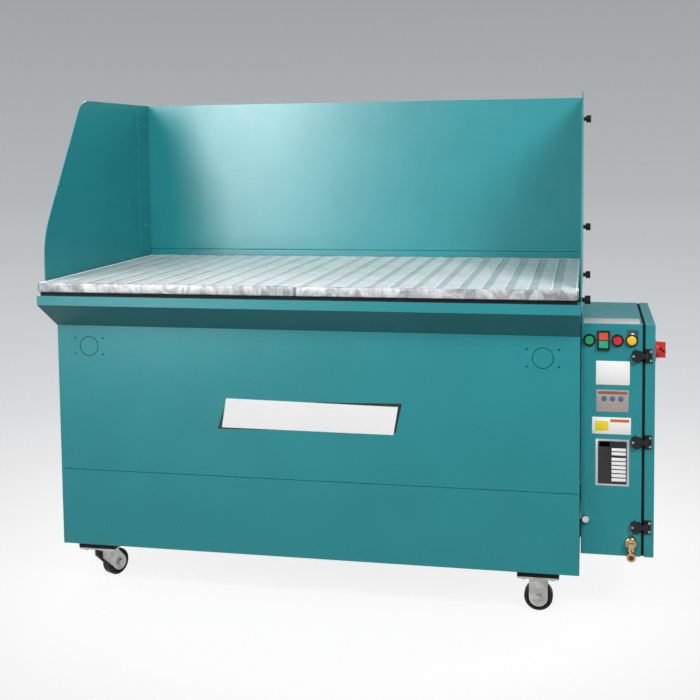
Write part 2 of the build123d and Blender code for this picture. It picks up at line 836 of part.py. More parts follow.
z_wheel = z_deck - impeller_drop - impeller_height
with BuildPart() as fan_impeller:
    rod((x_fan, y_fan, z_wheel), "Z", impeller_radius, impeller_plate)
    rod((x_fan, y_fan, z_wheel), "Z", impeller_hub_radius, impeller_height / 2)
    rod((x_fan, y_fan, z_wheel), "Z", shaft_radius, z_stand + shaft_grip - z_wheel)
    with BuildSketch(Plane.XY.offset(z_wheel + impeller_height - impeller_plate)):
        with Locations((x_fan, y_fan)):
            Circle(impeller_radius)
            Circle(impeller_eye, mode=Mode.SUBTRACT)
    extrude(amount=impeller_plate)
    blade_length = impeller_radius - blade_root
    with BuildSketch(Plane.XY.offset(z_wheel + impeller_plate)):
        with Locations((x_fan, y_fan)):
            with PolarLocations((impeller_radius + blade_root) / 2, impeller_blades):
                Rectangle(blade_length, blade_thickness, rotation=blade_sweep)
    extrude(amount=impeller_height - 2 * impeller_plate)
keep("fan_impeller", fan_impeller.part)

# Compressed air tank and pulse valves
x_tank = x_right - sheet - tank_wall_gap - tank_radius
with BuildPart() as air_tank:
    rod((x_tank, y_mid - tank_length / 2, z_axis), "Y", tank_radius, tank_length)
    fillet(air_tank.edges().filter_by(GeomType.CIRCLE), tank_radius / 2)
    for y in (y_mid - cartridge_pitch / 2, y_mid + cartridge_pitch / 2):
        half = lug_thickness / 2
        bar(x_tank, x_right - sheet, y - half, y + half, z_axis - tank_radius / 2, z_axis + tank_radius / 2)
    x_valve = x_tank - tank_radius - pulse_valve_radius - seat_gap
    for y in cartridge_ys:
        rod((x_valve, y, z_axis - pulse_valve_height / 2), "Z", pulse_valve_radius, pulse_valve_height)
        x_start = x_valve - pulse_valve_radius / 2
        rod((x_start, y, z_axis), "X", pulse_pipe_radius, x_part + pulse_reach - x_start)
keep("air_tank_and_valves", air_tank.part)

# Casters: pads under the base pan, and the plates that are bolted through them
with BuildPart() as caster_pads:
    for x, y in caster_spots.values():
        half_x, half_y = caster_plate_x / 2, caster_plate_y / 2
        bar(x - half_x, x + half_x, y - half_y, y + half_y, z_pad, z_base)
    for x, y in bolt_places:
        rod((x, y, z_base), "Z", caster_bolt_radius + fit_clearance, -caster_pad, mode=Mode.SUBTRACT)
keep("caster_pads", caster_pads.part)

with BuildPart() as swivel_caster_plates:
    for spot in ("front_left", "rear_left"):
        x, y = caster_spots[spot]
        half_x, half_y = caster_plate_x / 2, caster_plate_y / 2
        bar(x - half_x, x + half_x, y - half_y, y + half_y, z_pad - caster_plate, z_pad)
    fillet(swivel_caster_plates.edges().filter_by(Axis.Z), 2 * sheet)
    for spot in ("front_left", "rear_left"):
        x, y = caster_spots[spot]
        rod((x, y, z_pad - caster_plate), "Z", raceway_radius, -raceway)
        bore = caster_plate + raceway - sheet
        rod((x, y, z_pad - sheet), "Z", axle_radius + fit_clearance, -bore, mode=Mode.SUBTRACT)
        for x_bolt, y_bolt in caster_holes(x, y):
            start = (x_bolt, y_bolt, z_pad)
            rod(start, "Z", caster_bolt_radius + fit_clearance, -caster_plate, mode=Mode.SUBTRACT)
keep("swivel_caster_plates", swivel_caster_plates.part)

z_crown = z_pad - caster_plate - raceway - seat_gap


def caster_axle(x, y, z):
    """An axle along Y with a round head behind, and room for a nut in front."""
    reach = fork_gap / 2 + fork_sheet
    rod((x, y - reach, z), "Y", axle_radius, 2 * reach)
    rod((x, y + reach, z), "Y", axle_head_radius, axle_head / 2)


def turned(piece, spot):
    """A swivel caster's piece, built trailing to +X, turned about its pivot to where it rests."""
    x, y = caster_spots[spot]
    turn = swivel_turn_front if spot == "front_left" else swivel_turn_rear
    return piece.rotate(Axis((x, y, 0), (0, 0, 1)), turn)


for spot in ("front_left", "rear_left"):
    x, y = caster_spots[spot]
    x_axle = x + fork_trail
    with BuildPart() as fork:
        half = fork_gap / 2 + fork_sheet
        bar(x - crown_half, x + crown_half, y - half, y + half, z_crown - fork_sheet, z_crown)
        for y_side in (y - half, y + half - fork_sheet):
            with BuildSketch(Plane.XZ.offset(-y_side)):
                with BuildLine():
                    Polyline(
                        (x + crown_half, z_crown),
                        (x - fork_front, z_crown),
                        (x - fork_front, z_crown - fork_drop),
                    )
                with Locations((x_axle, wheel_radius)):
                    Circle(fork_end_radius)
                make_hull()
            extrude(amount=-fork_sheet)
        rod((x, y, z_crown), "Z", axle_radius, caster_plate + raceway + seat_gap - sheet - slide_gap)
        caster_axle(x_axle, y, wheel_radius)
        with BuildSketch(Plane.XZ.offset(half - y)):
            with Locations((x_axle, wheel_radius)):
                RegularPolygon(axle_head_radius, hex_sides)
        extrude(amount=axle_head)
    keep(f"caster_fork_{spot}", turned(fork.part, spot))

with BuildPart() as rigid_caster_brackets:
    for spot in ("front_right", "rear_right"):
        x, y = caster_spots[spot]
        half_x, half_y = caster_plate_x / 2, caster_plate_y / 2
        bar(x - half_x, x + half_x, y - half_y, y + half_y, z_pad - caster_plate, z_pad)
    fillet(rigid_caster_brackets.edges().filter_by(Axis.Z), 2 * sheet)
    for spot in ("front_right", "rear_right"):
        x, y = caster_spots[spot]
        half = fork_gap / 2 + fork_sheet
        for y_side in (y - half, y + half - fork_sheet):
            drop = z_pad - caster_plate - wheel_radius
            with BuildSketch(Plane.XZ.offset(-y_side)):
                with Locations((x, wheel_radius)):
                    Rectangle(2 * bracket_end_radius, drop, align=(Align.CENTER, Align.MIN))
                    Circle(bracket_end_radius)
            extrude(amount=-fork_sheet)
        caster_axle(x, y, wheel_radius)
        with BuildSketch(Plane.XZ.offset(half - y)):
            with Locations((x, wheel_radius)):
                RegularPolygon(axle_head_radius, hex_sides)
        extrude(amount=axle_head)
        for x_bolt, y_bolt in caster_holes(x, y):
            start = (x_bolt, y_bolt, z_pad)
            rod(start, "Z", caster_bolt_radius + fit_clearance, -caster_plate, mode=Mode.SUBTRACT)
keep("rigid_caster_brackets", rigid_caster_brackets.part)

for spot, (x, y) in caster_spots.items():
    x_wheel = x + fork_trail if "left" in spot else x
    with BuildPart() as caster_wheel:
        rod((x_wheel, y - wheel_width / 2, wheel_radius), "Y", wheel_radius, wheel_width)
        fillet(caster_wheel.edges().filter_by(GeomType.CIRCLE), wheel_edge)
        for direction in (-1, 1):
            y_side = y + direction * wheel_width / 2
            depth = -direction * wheel_recess
            start = (x_wheel, y_side, wheel_radius)
            rod(start, "Y", wheel_radius - 2 * wheel_edge, depth, mode=Mode.SUBTRACT)
        rod((x_wheel, y - hub_width / 2, wheel_radius), "Y", hub_radius, hub_width)
        bore = axle_radius + fit_clearance
        rod((x_wheel, y - hub_width / 2, wheel_radius), "Y", bore, hub_width, mode=Mode.SUBTRACT)
    wheel = caster_wheel.part
    keep(f"caster_wheel_{spot}", turned(wheel, spot) if "left" in spot else wheel)

with BuildPart() as caster_bolts:
    for x, y in bolt_places:
        rod((x, y, z_base + sheet), "Z", bolt_head_radius, bolt_head / 2)
        shank = sheet + caster_pad + caster_plate + bolt_head
        rod((x, y, z_base + sheet), "Z", caster_bolt_radius, -shank)
    with BuildSketch(Plane.XY.offset(z_pad - caster_plate)):
        with Locations(*bolt_places):
            RegularPolygon(bolt_head_radius, hex_sides)
    extrude(amount=-bolt_head)
keep("caster_bolts", caster_bolts.part)

# Control enclosure: box, gland plate, gasket and door
x_buttons = [x_box + button_first + button_pitch * i for i in range(4)]
box_edges = (y_box, y_box_rear, z_box, z_box_top)


def window(edges, inset):
    """A rectangle on a plane that faces along X, drawn inwards by the same amount all round."""
    y0, y1, z0, z1 = edges
    with Locations(((y0 + y1) / 2, (z0 + z1) / 2)):
        Rectangle(y1 - y0 - 2 * inset, z1 - z0 - 2 * inset)


x_entry = x_box + enclosure_width / 2
y_entry = y_box_rear - cable_entry_inset
with BuildPart() as enclosure_box:
    bar(x_box, x_lip, y_box, y_box_rear, z_box, z_box_top)
    fillet(enclosure_box.edges().filter_by(Axis.X), enclosure_fold)
    with BuildSketch(Plane.YZ.offset(x_box + enclosure_sheet)):
        window(box_edges, enclosure_sheet)
    extrude(amount=enclosure_width - 2 * enclosure_sheet, mode=Mode.SUBTRACT)
    with BuildSketch(Plane.YZ.offset(x_lip)):
        window(box_edges, enclosure_lip)
    extrude(amount=-enclosure_sheet, mode=Mode.SUBTRACT)
    for y in (y_box + backplate_margin, y_box_rear - backplate_margin - spacer_side):
        for z in (z_box + backplate_margin, z_box_top - backplate_margin - spacer_side):
            bar(x_right, x_box, y, y + spacer_side, z, z + spacer_side)
    for x in x_buttons:
        rod((x, y_box, z_buttons), "Y", barrel_radius + fit_clearance, enclosure_sheet, mode=Mode.SUBTRACT)
    spot = (x_box + fitting_inset, y_box, z_box + fitting_rise)
    rod(spot, "Y", fitting_spigot_radius + fit_clearance, enclosure_sheet, mode=Mode.SUBTRACT)
    spot = (x_box + side_knob_inset, y_box, z_box + side_knob_rise)
    rod(spot, "Y", side_knob_stem_radius + fit_clearance, enclosure_sheet, mode=Mode.SUBTRACT)
    half = gland_plate_side / 2 - gland_plate_lap
    open_floor = (x_entry - half, x_entry + half, y_entry - half, y_entry + half)
    bar(*open_floor, z_box, z_box + enclosure_sheet, mode=Mode.SUBTRACT)
keep("enclosure_box", enclosure_box.part)

# Gland plate under the opening in the box's floor
with BuildPart() as enclosure_gland_plate:
    half = gland_plate_side / 2
    z_gland = z_box - seat_gap
    plate_edges = (x_entry - half, x_entry + half, y_entry - half, y_entry + half)
    bar(*plate_edges, z_gland - enclosure_sheet, z_gland)
    fillet(enclosure_gland_plate.edges().filter_by(Axis.Z), enclosure_fold)
    rod((x_entry, y_entry, z_gland), "Z", cable_entry_radius, -enclosure_sheet, mode=Mode.SUBTRACT)
keep("enclosure_gland_plate", enclosure_gland_plate.part)

with BuildPart() as door_gasket:
    with BuildSketch(Plane.YZ.offset(x_lip)):
        window(box_edges, enclosure_sheet)
        y0, y1, z0, z1 = box_edges
        with Locations(((y0 + y1) / 2, (z0 + z1) / 2)):
            inset = 2 * (enclosure_sheet + gasket_width)
            Rectangle(y1 - y0 - inset, z1 - z0 - inset, mode=Mode.SUBTRACT)
    extrude(amount=gasket_thickness - seat_gap)
keep("door_gasket", door_gasket.part)

y_switch = y_box + disconnect_inset
z_switch = z_box_top - disconnect_drop
with BuildPart() as enclosure_door:
    bar(x_door, x_face, y_box, y_box_rear, z_box, z_box_top)
    fillet(enclosure_door.edges().filter_by(Axis.X), enclosure_fold)
    outer = enclosure_door.edges().group_by(Axis.X)[-1]
    fillet(outer, door_fold)
    with BuildSketch(Plane.YZ.offset(x_door)):
        window(box_edges, enclosure_sheet)
    extrude(amount=door_depth - enclosure_sheet, mode=Mode.SUBTRACT)
    spot = (x_face, y_switch, z_switch)
    rod(spot, "X", disconnect_stub_radius + fit_clearance, -enclosure_sheet, mode=Mode.SUBTRACT)
keep("enclosure_door", enclosure_door.part)

# Door hinges at the rear edge
x_hinge = x_lip + gasket_thickness / 2
y_hinge = y_box_rear + hinge_pin_setback
knuckle = (hinge_height - 2 * seat_gap) / 3
with BuildPart() as door_hinge_fixed:
    for z in z_hinges:
        z0 = z - hinge_height / 2
        x0 = x_hinge - hinge_knuckle_radius - hinge_leaf_width
        bar(x0, x_hinge, y_box_rear, y_box_rear + hinge_leaf, z0, z0 + hinge_height)
        for z_knuckle in (z0, z0 + hinge_height - knuckle):
            rod((x_hinge, y_hinge, z_knuckle), "Z", hinge_knuckle_radius, knuckle)
            low = hinge_knuckle_radius
            bar(x_hinge - low, x_hinge, y_box_rear, y_hinge, z_knuckle, z_knuckle + knuckle)
        z_gap = z0 + knuckle
        x_gap = x_hinge - hinge_knuckle_radius - slide_gap
        open_gap = (x_gap, x_hinge, y_box_rear, y_hinge)
        bar(*open_gap, z_gap, z0 + hinge_height - knuckle, mode=Mode.SUBTRACT)
        rod((x_hinge, y_hinge, z0), "Z", hinge_pin_radius, hinge_height)
keep("door_hinge_fixed", door_hinge_fixed.part)

with BuildPart() as door_hinge_leaves:
    for z in z_hinges:
        z0 = z - hinge_height / 2 + knuckle + seat_gap
        length = hinge_height - 2 * (knuckle + seat_gap)
        rod((x_hinge, y_hinge, z0), "Z", hinge_knuckle_radius, length)
        low = hinge_knuckle_radius
        bar(x_hinge, x_hinge + low, y_box_rear + seat_gap, y_hinge, z0, z0 + length)
        x1 = x_hinge + low + hinge_leaf_width
        x0 = x_door
        z1 = z - hinge_height / 2
        bar(x0, x1, y_box_rear, y_box_rear + hinge_leaf, z1, z1 + hinge_height)
        bar(x_hinge, x0, y_box_rear + seat_gap, y_box_rear + hinge_leaf, z0, z0 + length)
        bore = hinge_pin_radius + fit_clearance
        rod((x_hinge, y_hinge, z0), "Z", bore, length, mode=Mode.SUBTRACT)
keep("door_hinge_leaves", door_hinge_leaves.part)

# Latches: a base and a pivoted arm on the door's rim, a keeper on the box
with BuildPart() as latch_bases:
    for z in z_latches:
        half = latch_base_z / 2
        bar(x_door, x_door + latch_base_x, y_box - latch_base_sheet, y_box, z - half, z + half)
        gap = latch_arm_neck / 2 + seat_gap
        for z_ear in (z - gap - latch_ear, z + gap):
            rod((x_pivot, y_pivot, z_ear), "Z", latch_ear_radius, latch_ear)
            low, high = x_pivot - latch_ear_radius, x_pivot + latch_ear_radius
            bar(low, high, y_pivot, y_box - latch_base_sheet, z_ear, z_ear + latch_ear)
        rod((x_pivot, y_pivot, z - gap - latch_ear), "Z", latch_pin_radius, 2 * (gap + latch_ear))
        x_screw = x_door + latch_base_x / 2
        for z_screw in (z - latch_screw_pitch / 2, z + latch_screw_pitch / 2):
            start = (x_screw + latch_ear_radius, y_box - latch_base_sheet, z_screw)
            rod(start, "Y", latch_screw_radius, -latch_screw_head)
keep("latch_bases", latch_bases.part)

x_leaf_end = x_lip - latch_keeper_x - latch_leaf_x / 6
for number, z in enumerate(z_latches, start=1):
    with BuildPart() as latch_arm:
        half = latch_arm_neck / 2
        rod((x_pivot, y_pivot, z - half), "Z", latch_ear_radius, latch_arm_neck)
        y_back = y_box - latch_keeper - seat_gap
        y_face = y_back - latch_arm_thickness
        bar(x_lip - latch_ear_radius, x_pivot, y_face, y_back, z - half, z + half)
        with BuildSketch(Plane.XZ.offset(-y_back)):
            with BuildLine():
                wide = latch_leaf_z / 2
                middle = x_leaf_end + latch_leaf_share * latch_leaf_x
                x_neck = x_leaf_end + latch_leaf_x
                Polyline(
                    (x_neck, z + half),
                    (middle, z + wide),
                    (x_leaf_end, z + half),
                    (x_leaf_end, z - half),
                    (middle, z - wide),
                    (x_neck, z - half),
                    close=True,
                )
            make_face()
        extrude(amount=latch_arm_thickness)
        edges = latch_arm.edges().filter_by(Axis.Y)
        fillet(edges.group_by(Axis.X)[0], latch_pin_radius)
        bore = latch_pin_radius + fit_clearance
        rod((x_pivot, y_pivot, z - half), "Z", bore, latch_arm_neck, mode=Mode.SUBTRACT)
    keep(f"latch_arm_{number}", latch_arm.part)

with BuildPart() as latch_keepers:
    for z in z_latches:
        half = latch_keeper_z / 2
        x1 = x_lip - latch_ear_radius / 2
        bar(x1 - latch_keeper_x, x1, y_box - latch_keeper, y_box, z - half, z + half)
keep("latch_keepers", latch_keepers.part)

# Buttons, lamp and plates on the front of the box
x_green, x_twin, x_red, x_lamp = x_buttons
with BuildPart() as button_bodies:
    for x in (x_green, x_red, x_lamp):
        rod((x, y_box, z_buttons), "Y", bezel_radius, -bezel_height)
        rod((x, y_box, z_buttons), "Y", barrel_radius, barrel_length)
    bar(
        x_twin - twin_width / 2,
        x_twin + twin_width / 2,
        y_box - twin_depth,
        y_box,
        z_buttons - twin_height / 2,
        z_buttons + twin_height / 2,
    )
    rod((x_twin, y_box, z_buttons), "Y", barrel_radius, barrel_length)
    for x in (x_green, x_red, x_lamp):
        start = (x, y_box - bezel_height, z_buttons)
        rod(start, "Y", bezel_inner_radius, bezel_height, mode=Mode.SUBTRACT)
        bore = button_stem_radius + fit_clearance
        rod(start, "Y", bore, bezel_height + button_travel + slide_gap, mode=Mode.SUBTRACT)
    inner = twin_width / 2 - twin_wall
    y_floor = y_box - slide_gap
    tall = twin_height / 2 - twin_wall
    edge = twin_wall / 4
    for low, high in ((-tall, -edge), (edge, tall)):
        bar(
            x_twin - inner,
            x_twin + inner,
            y_box - twin_depth,
            y_floor,
            z_buttons + low,
            z_buttons + high,
            mode=Mode.SUBTRACT,
        )
keep("button_bodies", button_bodies.part)

for name, x in (("green_button", x_green), ("red_button", x_red)):
    with BuildPart() as round_button:
        y_cap = y_box - button_travel - slide_gap
        rod((x, y_cap, z_buttons), "Y", button_radius, -button_height)
        fillet(round_button.edges().group_by(Axis.Y)[0], slide_gap)
        rod((x, y_cap, z_buttons), "Y", button_stem_radius, button_travel + 2 * slide_gap)
    keep(name, round_button.part)

for name, low, high in (("stop_button", edge, tall), ("start_button", -tall, -edge)):
    with BuildPart() as twin_button:
        bar(
            x_twin - inner + seat_gap,
            x_twin + inner - seat_gap,
            y_box - twin_depth - twin_wall / 2,
            y_floor - button_travel - seat_gap,
            z_buttons + low + seat_gap,
            z_buttons + high - seat_gap,
        )
        fillet(twin_button.edges().group_by(Axis.Y)[0], slide_gap)
    keep(name, twin_button.part)

with BuildPart() as yellow_lamp:
    rod((x_lamp, y_box - bezel_height, z_buttons), "Y", lamp_radius, bezel_height - lamp_height)
    fillet(yellow_lamp.edges().group_by(Axis.Y)[0], bezel_height)
    rod((x_lamp, y_box - bezel_height, z_buttons), "Y", bezel_inner_radius, bezel_height)
    rod((x_lamp, y_box, z_buttons), "Y", button_stem_radius, button_travel)
keep("yellow_lamp", yellow_lamp.part)

with BuildPart() as label_plates:
    for left, width, drop, height in label_plate_sizes + [legend_plate_size]:
        x0 = x_box + left
        z1 = z_box_top - drop
        bar(x0, x0 + width, y_box - plate_sheet, y_box, z1 - height, z1)
    rod((x_lamp, y_box - plate_sheet, z_buttons), "Y", bezel_radius, plate_sheet, mode=Mode.SUBTRACT)
    x0 = x_box + (enclosure_width - top_strip_width) / 2
    y0 = y_box + top_strip_setback
    bar(x0, x0 + top_strip_width, y0, y0 + top_strip_depth, z_box_top, z_box_top + plate_sheet)
keep("label_plates", label_plates.part)

# Rotary disconnect
with BuildPart() as disconnect_plate_piece:
    half = disconnect_side / 2
    bar(x_face, x_face + disconnect_plate, y_switch - half, y_switch + half, z_switch - half, z_switch + half)
    fillet(disconnect_plate_piece.edges().filter_by(Axis.X), 2 * disconnect_edge)
    bore = disconnect_stub_radius + fit_clearance
    rod((x_face, y_switch, z_switch), "X", bore, disconnect_plate, mode=Mode.SUBTRACT)
keep("disconnect_plate", disconnect_plate_piece.part)

with BuildPart() as disconnect_handle:
    x0 = x_face + disconnect_plate + seat_gap
    disc = disconnect_disc - seat_gap
    rod((x0, y_switch, z_switch), "X", disconnect_disc_radius, disc)
    half_y, half_z = disconnect_grip_y / 2, disconnect_grip_z / 2
    x1 = x0 + disc
    x2 = x1 + disconnect_grip_x
    bar(x1, x2, y_switch - half_y, y_switch + half_y, z_switch - half_z, z_switch + half_z)
    grip = disconnect_handle.faces().sort_by(Axis.X)[-1].edges()
    fillet(grip, disconnect_edge)
    stub = disconnect_plate + seat_gap + enclosure_sheet + disconnect_edge
    rod((x0, y_switch, z_switch), "X", disconnect_stub_radius, -stub)
keep("disconnect_handle", disconnect_handle.part)

# Inside the enclosure
x_plate = x_box + enclosure_sheet + backplate_gap
with BuildPart() as control_gear:
    y0, y1 = y_box + backplate_margin, y_box_rear - backplate_margin
    z0, z1 = z_box + backplate_margin, z_box_top - backplate_margin
    bar(x_plate, x_plate + tray_sheet, y0, y1, z0, z1)
    for y in (y0, y1 - spacer_side):
        for z in (z0, z1 - spacer_side):
            bar(x_box + enclosure_sheet, x_plate, y, y + spacer_side, z, z + spacer_side)
    gear_depth = enclosure_width / 2
    span_y, span_z = y1 - y0, z1 - z0
    x_gear = x_plate + tray_sheet
    gear_shares = [
        (0.04, 0.30, 0.80, 0.96, 1.0),
        (0.45, 0.65, 0.62, 0.78, 0.9),
        (0.70, 0.92, 0.62, 0.78, 0.8),
        (0.10, 0.45, 0.08, 0.30, 1.1),
        (0.55, 0.95, 0.12, 0.20, 0.5),
    ]
    for low_y, high_y, low_z, high_z, deep in gear_shares:
        bar(
            x_gear,
            x_gear + deep * gear_depth,
            y0 + low_y * span_y,
            y0 + high_y * span_y,
            z0 + low_z * span_z,
            z0 + high_z * span_z,
        )
keep("control_gear", control_gear.part)

# Air inlet fitting and side knob
x_fit = x_box + fitting_inset
z_fit = z_box + fitting_rise
z_port = z_fit - fitting_drop
y_leg = y_box - fitting_body_length + fitting_leg_radius / 2
y_mouth = y_leg - fitting_port_length
with BuildPart() as air_inlet_fitting:
    rod((x_fit, y_box, z_fit), "Y", fitting_body_radius, -fitting_body_length)
    fillet(air_inlet_fitting.edges().group_by(Axis.Y)[0], fitting_spigot_radius / 2)
    rod((x_fit, y_leg, z_fit), "Z", fitting_leg_radius, -fitting_drop)
    rod((x_fit, y_leg, z_port), "Y", fitting_port_radius, -fitting_port_length)
    rod((x_fit, y_leg, z_port), "Y", fitting_leg_radius, fitting_leg_radius / 2)
    rod((x_fit, y_box, z_fit), "Y", fitting_spigot_radius, enclosure_sheet + overcut)
    rod((x_fit, y_mouth, z_port), "Y", fitting_port_bore, fitting_bore_depth, mode=Mode.SUBTRACT)
keep("air_inlet_fitting", air_inlet_fitting.part)

x_knob = x_box + side_knob_inset
z_knob = z_box + side_knob_rise
with BuildPart() as side_knob:
    y_head = y_box - seat_gap
    rod((x_knob, y_head, z_knob), "Y", side_knob_radius, -side_knob_length)
    fillet(side_knob.edges().group_by(Axis.Y)[0], side_knob_edge)
    for knurl in range(side_knob_knurls):
        turn = radians(360 * knurl / side_knob_knurls)
        x_cut = x_knob + side_knob_radius * cos(turn)
        z_cut = z_knob + side_knob_radius * sin(turn)
        rod((x_cut, y_head, z_cut), "Y", knurl_radius, -side_knob_length, mode=Mode.SUBTRACT)
    rod((x_knob, y_head, z_knob), "Y", side_knob_stem_radius, enclosure_sheet + overcut)
keep("side_knob", side_knob.part)

print(len(nodes), "nodes")
print("work height", z_work, "overall height", z_guard)
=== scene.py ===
"""Dresses the downdraft table: its finishes, and the small pieces that the frame leaves plain.

Metres, +Z up, in the frame's own place. Each piece takes its place from the box of a node in the
frame, and its own small sizes are named values here.
"""

from __future__ import annotations

import logging
import math
from collections.abc import Iterable
from dataclasses import dataclass, field
from enum import Enum

import bmesh
import bpy
from mathutils import Matrix, Vector

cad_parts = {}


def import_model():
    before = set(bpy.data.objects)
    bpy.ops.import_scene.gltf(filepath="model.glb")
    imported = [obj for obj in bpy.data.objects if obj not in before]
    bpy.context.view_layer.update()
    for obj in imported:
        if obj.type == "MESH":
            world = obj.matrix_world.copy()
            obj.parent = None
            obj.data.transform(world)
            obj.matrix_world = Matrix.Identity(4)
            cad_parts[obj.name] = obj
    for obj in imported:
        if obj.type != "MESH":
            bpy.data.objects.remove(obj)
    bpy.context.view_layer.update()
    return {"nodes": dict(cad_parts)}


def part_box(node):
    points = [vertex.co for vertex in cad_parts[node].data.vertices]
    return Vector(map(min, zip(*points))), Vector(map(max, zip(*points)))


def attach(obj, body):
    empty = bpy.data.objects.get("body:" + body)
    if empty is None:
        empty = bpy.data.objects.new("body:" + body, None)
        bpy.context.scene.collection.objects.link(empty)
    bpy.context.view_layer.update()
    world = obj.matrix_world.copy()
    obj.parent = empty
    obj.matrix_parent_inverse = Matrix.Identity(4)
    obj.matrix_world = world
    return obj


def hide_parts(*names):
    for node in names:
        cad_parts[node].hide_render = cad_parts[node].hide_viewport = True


Colour = tuple[float, float, float]
Place = tuple[float, float, float]
Pair = tuple[float, float]

log = logging.getLogger("downdraft_table")

FORWARDS = Vector((0.0, -1.0, 0.0))

# The screen's brightness curve: a straight toe, and a power curve above it.
SCREEN_TOP = 255
TOE_END = 0.04045
TOE_SLOPE = 12.92
CURVE_LIFT = 0.055
CURVE_POWER = 2.4

# How the finishes read their noise: the stretch of its values that counts, and its relative scale.
PATCH_EDGES = (0.35, 0.65)
GLOSS_EDGES = (0.3, 0.7)
GLOSS_SCALE = 3
GRAIN_DETAIL = 2.0
CLOUD_DETAIL = 5.0
CLOUD_ROUGHNESS = 0.6
BLOOM_EDGES = (0.34, 0.62)
BLOOM_SHARE = 0.75
SMEAR_EDGES = (0.38, 0.6)
SMEAR_SHARE = 0.8
SMEAR_BEND = 0.9
STREAK_STRETCH = (1.0, 1.0, 0.12)
STREAK_SCALE = 4
# Painted shade in the holes of a perforated sheet: its colour, and how strongly it covers the sheet.
HOLE_SHADE_COLOUR = (60, 72, 74)
HOLE_SHADE_STRENGTH = 0.3

# Edges sharper than the first angle are rounded, and edges flatter than the second look smooth.
ROUND_OVER = math.radians(40)
SMOOTH_UNDER = math.radians(35)

# How many steps go round a ring.
RING_STEPS = 64


def screen(red: float, green: float, blue: float) -> Colour:
    """Turns a colour as a screen shows it, 0 to 255, into the linear colour that a shader takes.

    Args:
        red: The red part.
        green: The green part.
        blue: The blue part.

    Returns:
        The linear colour.
    """
    linear = []
    for level in (red, green, blue):
        part = level / SCREEN_TOP
        if part <= TOE_END:
            linear.append(part / TOE_SLOPE)
        else:
            linear.append(((part + CURVE_LIFT) / (1 + CURVE_LIFT)) ** CURVE_POWER)
    return (linear[0], linear[1], linear[2])


class Signal:
    """A shader socket that takes part in Python expressions."""

    def __init__(self, graph: Graph, socket: bpy.types.NodeSocket) -> None:
        """Keeps the socket and the graph that it belongs to."""
        self.graph = graph
        self.socket = socket

    def beside(self, output: str) -> Signal:
        """Another output of the same node."""
        return Signal(self.graph, self.socket.node.outputs[output])

    def __add__(self, other: Signal | float) -> Signal:
        """self + other."""
        return self.graph.maths("ADD", self, other)

    def __sub__(self, other: Signal | float) -> Signal:
        """self - other."""
        return self.graph.maths("SUBTRACT", self, other)

    def __rsub__(self, other: float) -> Signal:
        """other - self."""
        return self.graph.maths("SUBTRACT", other, self)

    def __mul__(self, other: Signal | float) -> Signal:
        """self * other."""
        return self.graph.maths("MULTIPLY", self, other)

    def __truediv__(self, other: Signal | float) -> Signal:
        """self / other."""
        return self.graph.maths("DIVIDE", self, other)

    def __lt__(self, other: Signal | float) -> Signal:
        """1 where self is under other, and else 0."""
        return self.graph.maths("LESS_THAN", self, other)


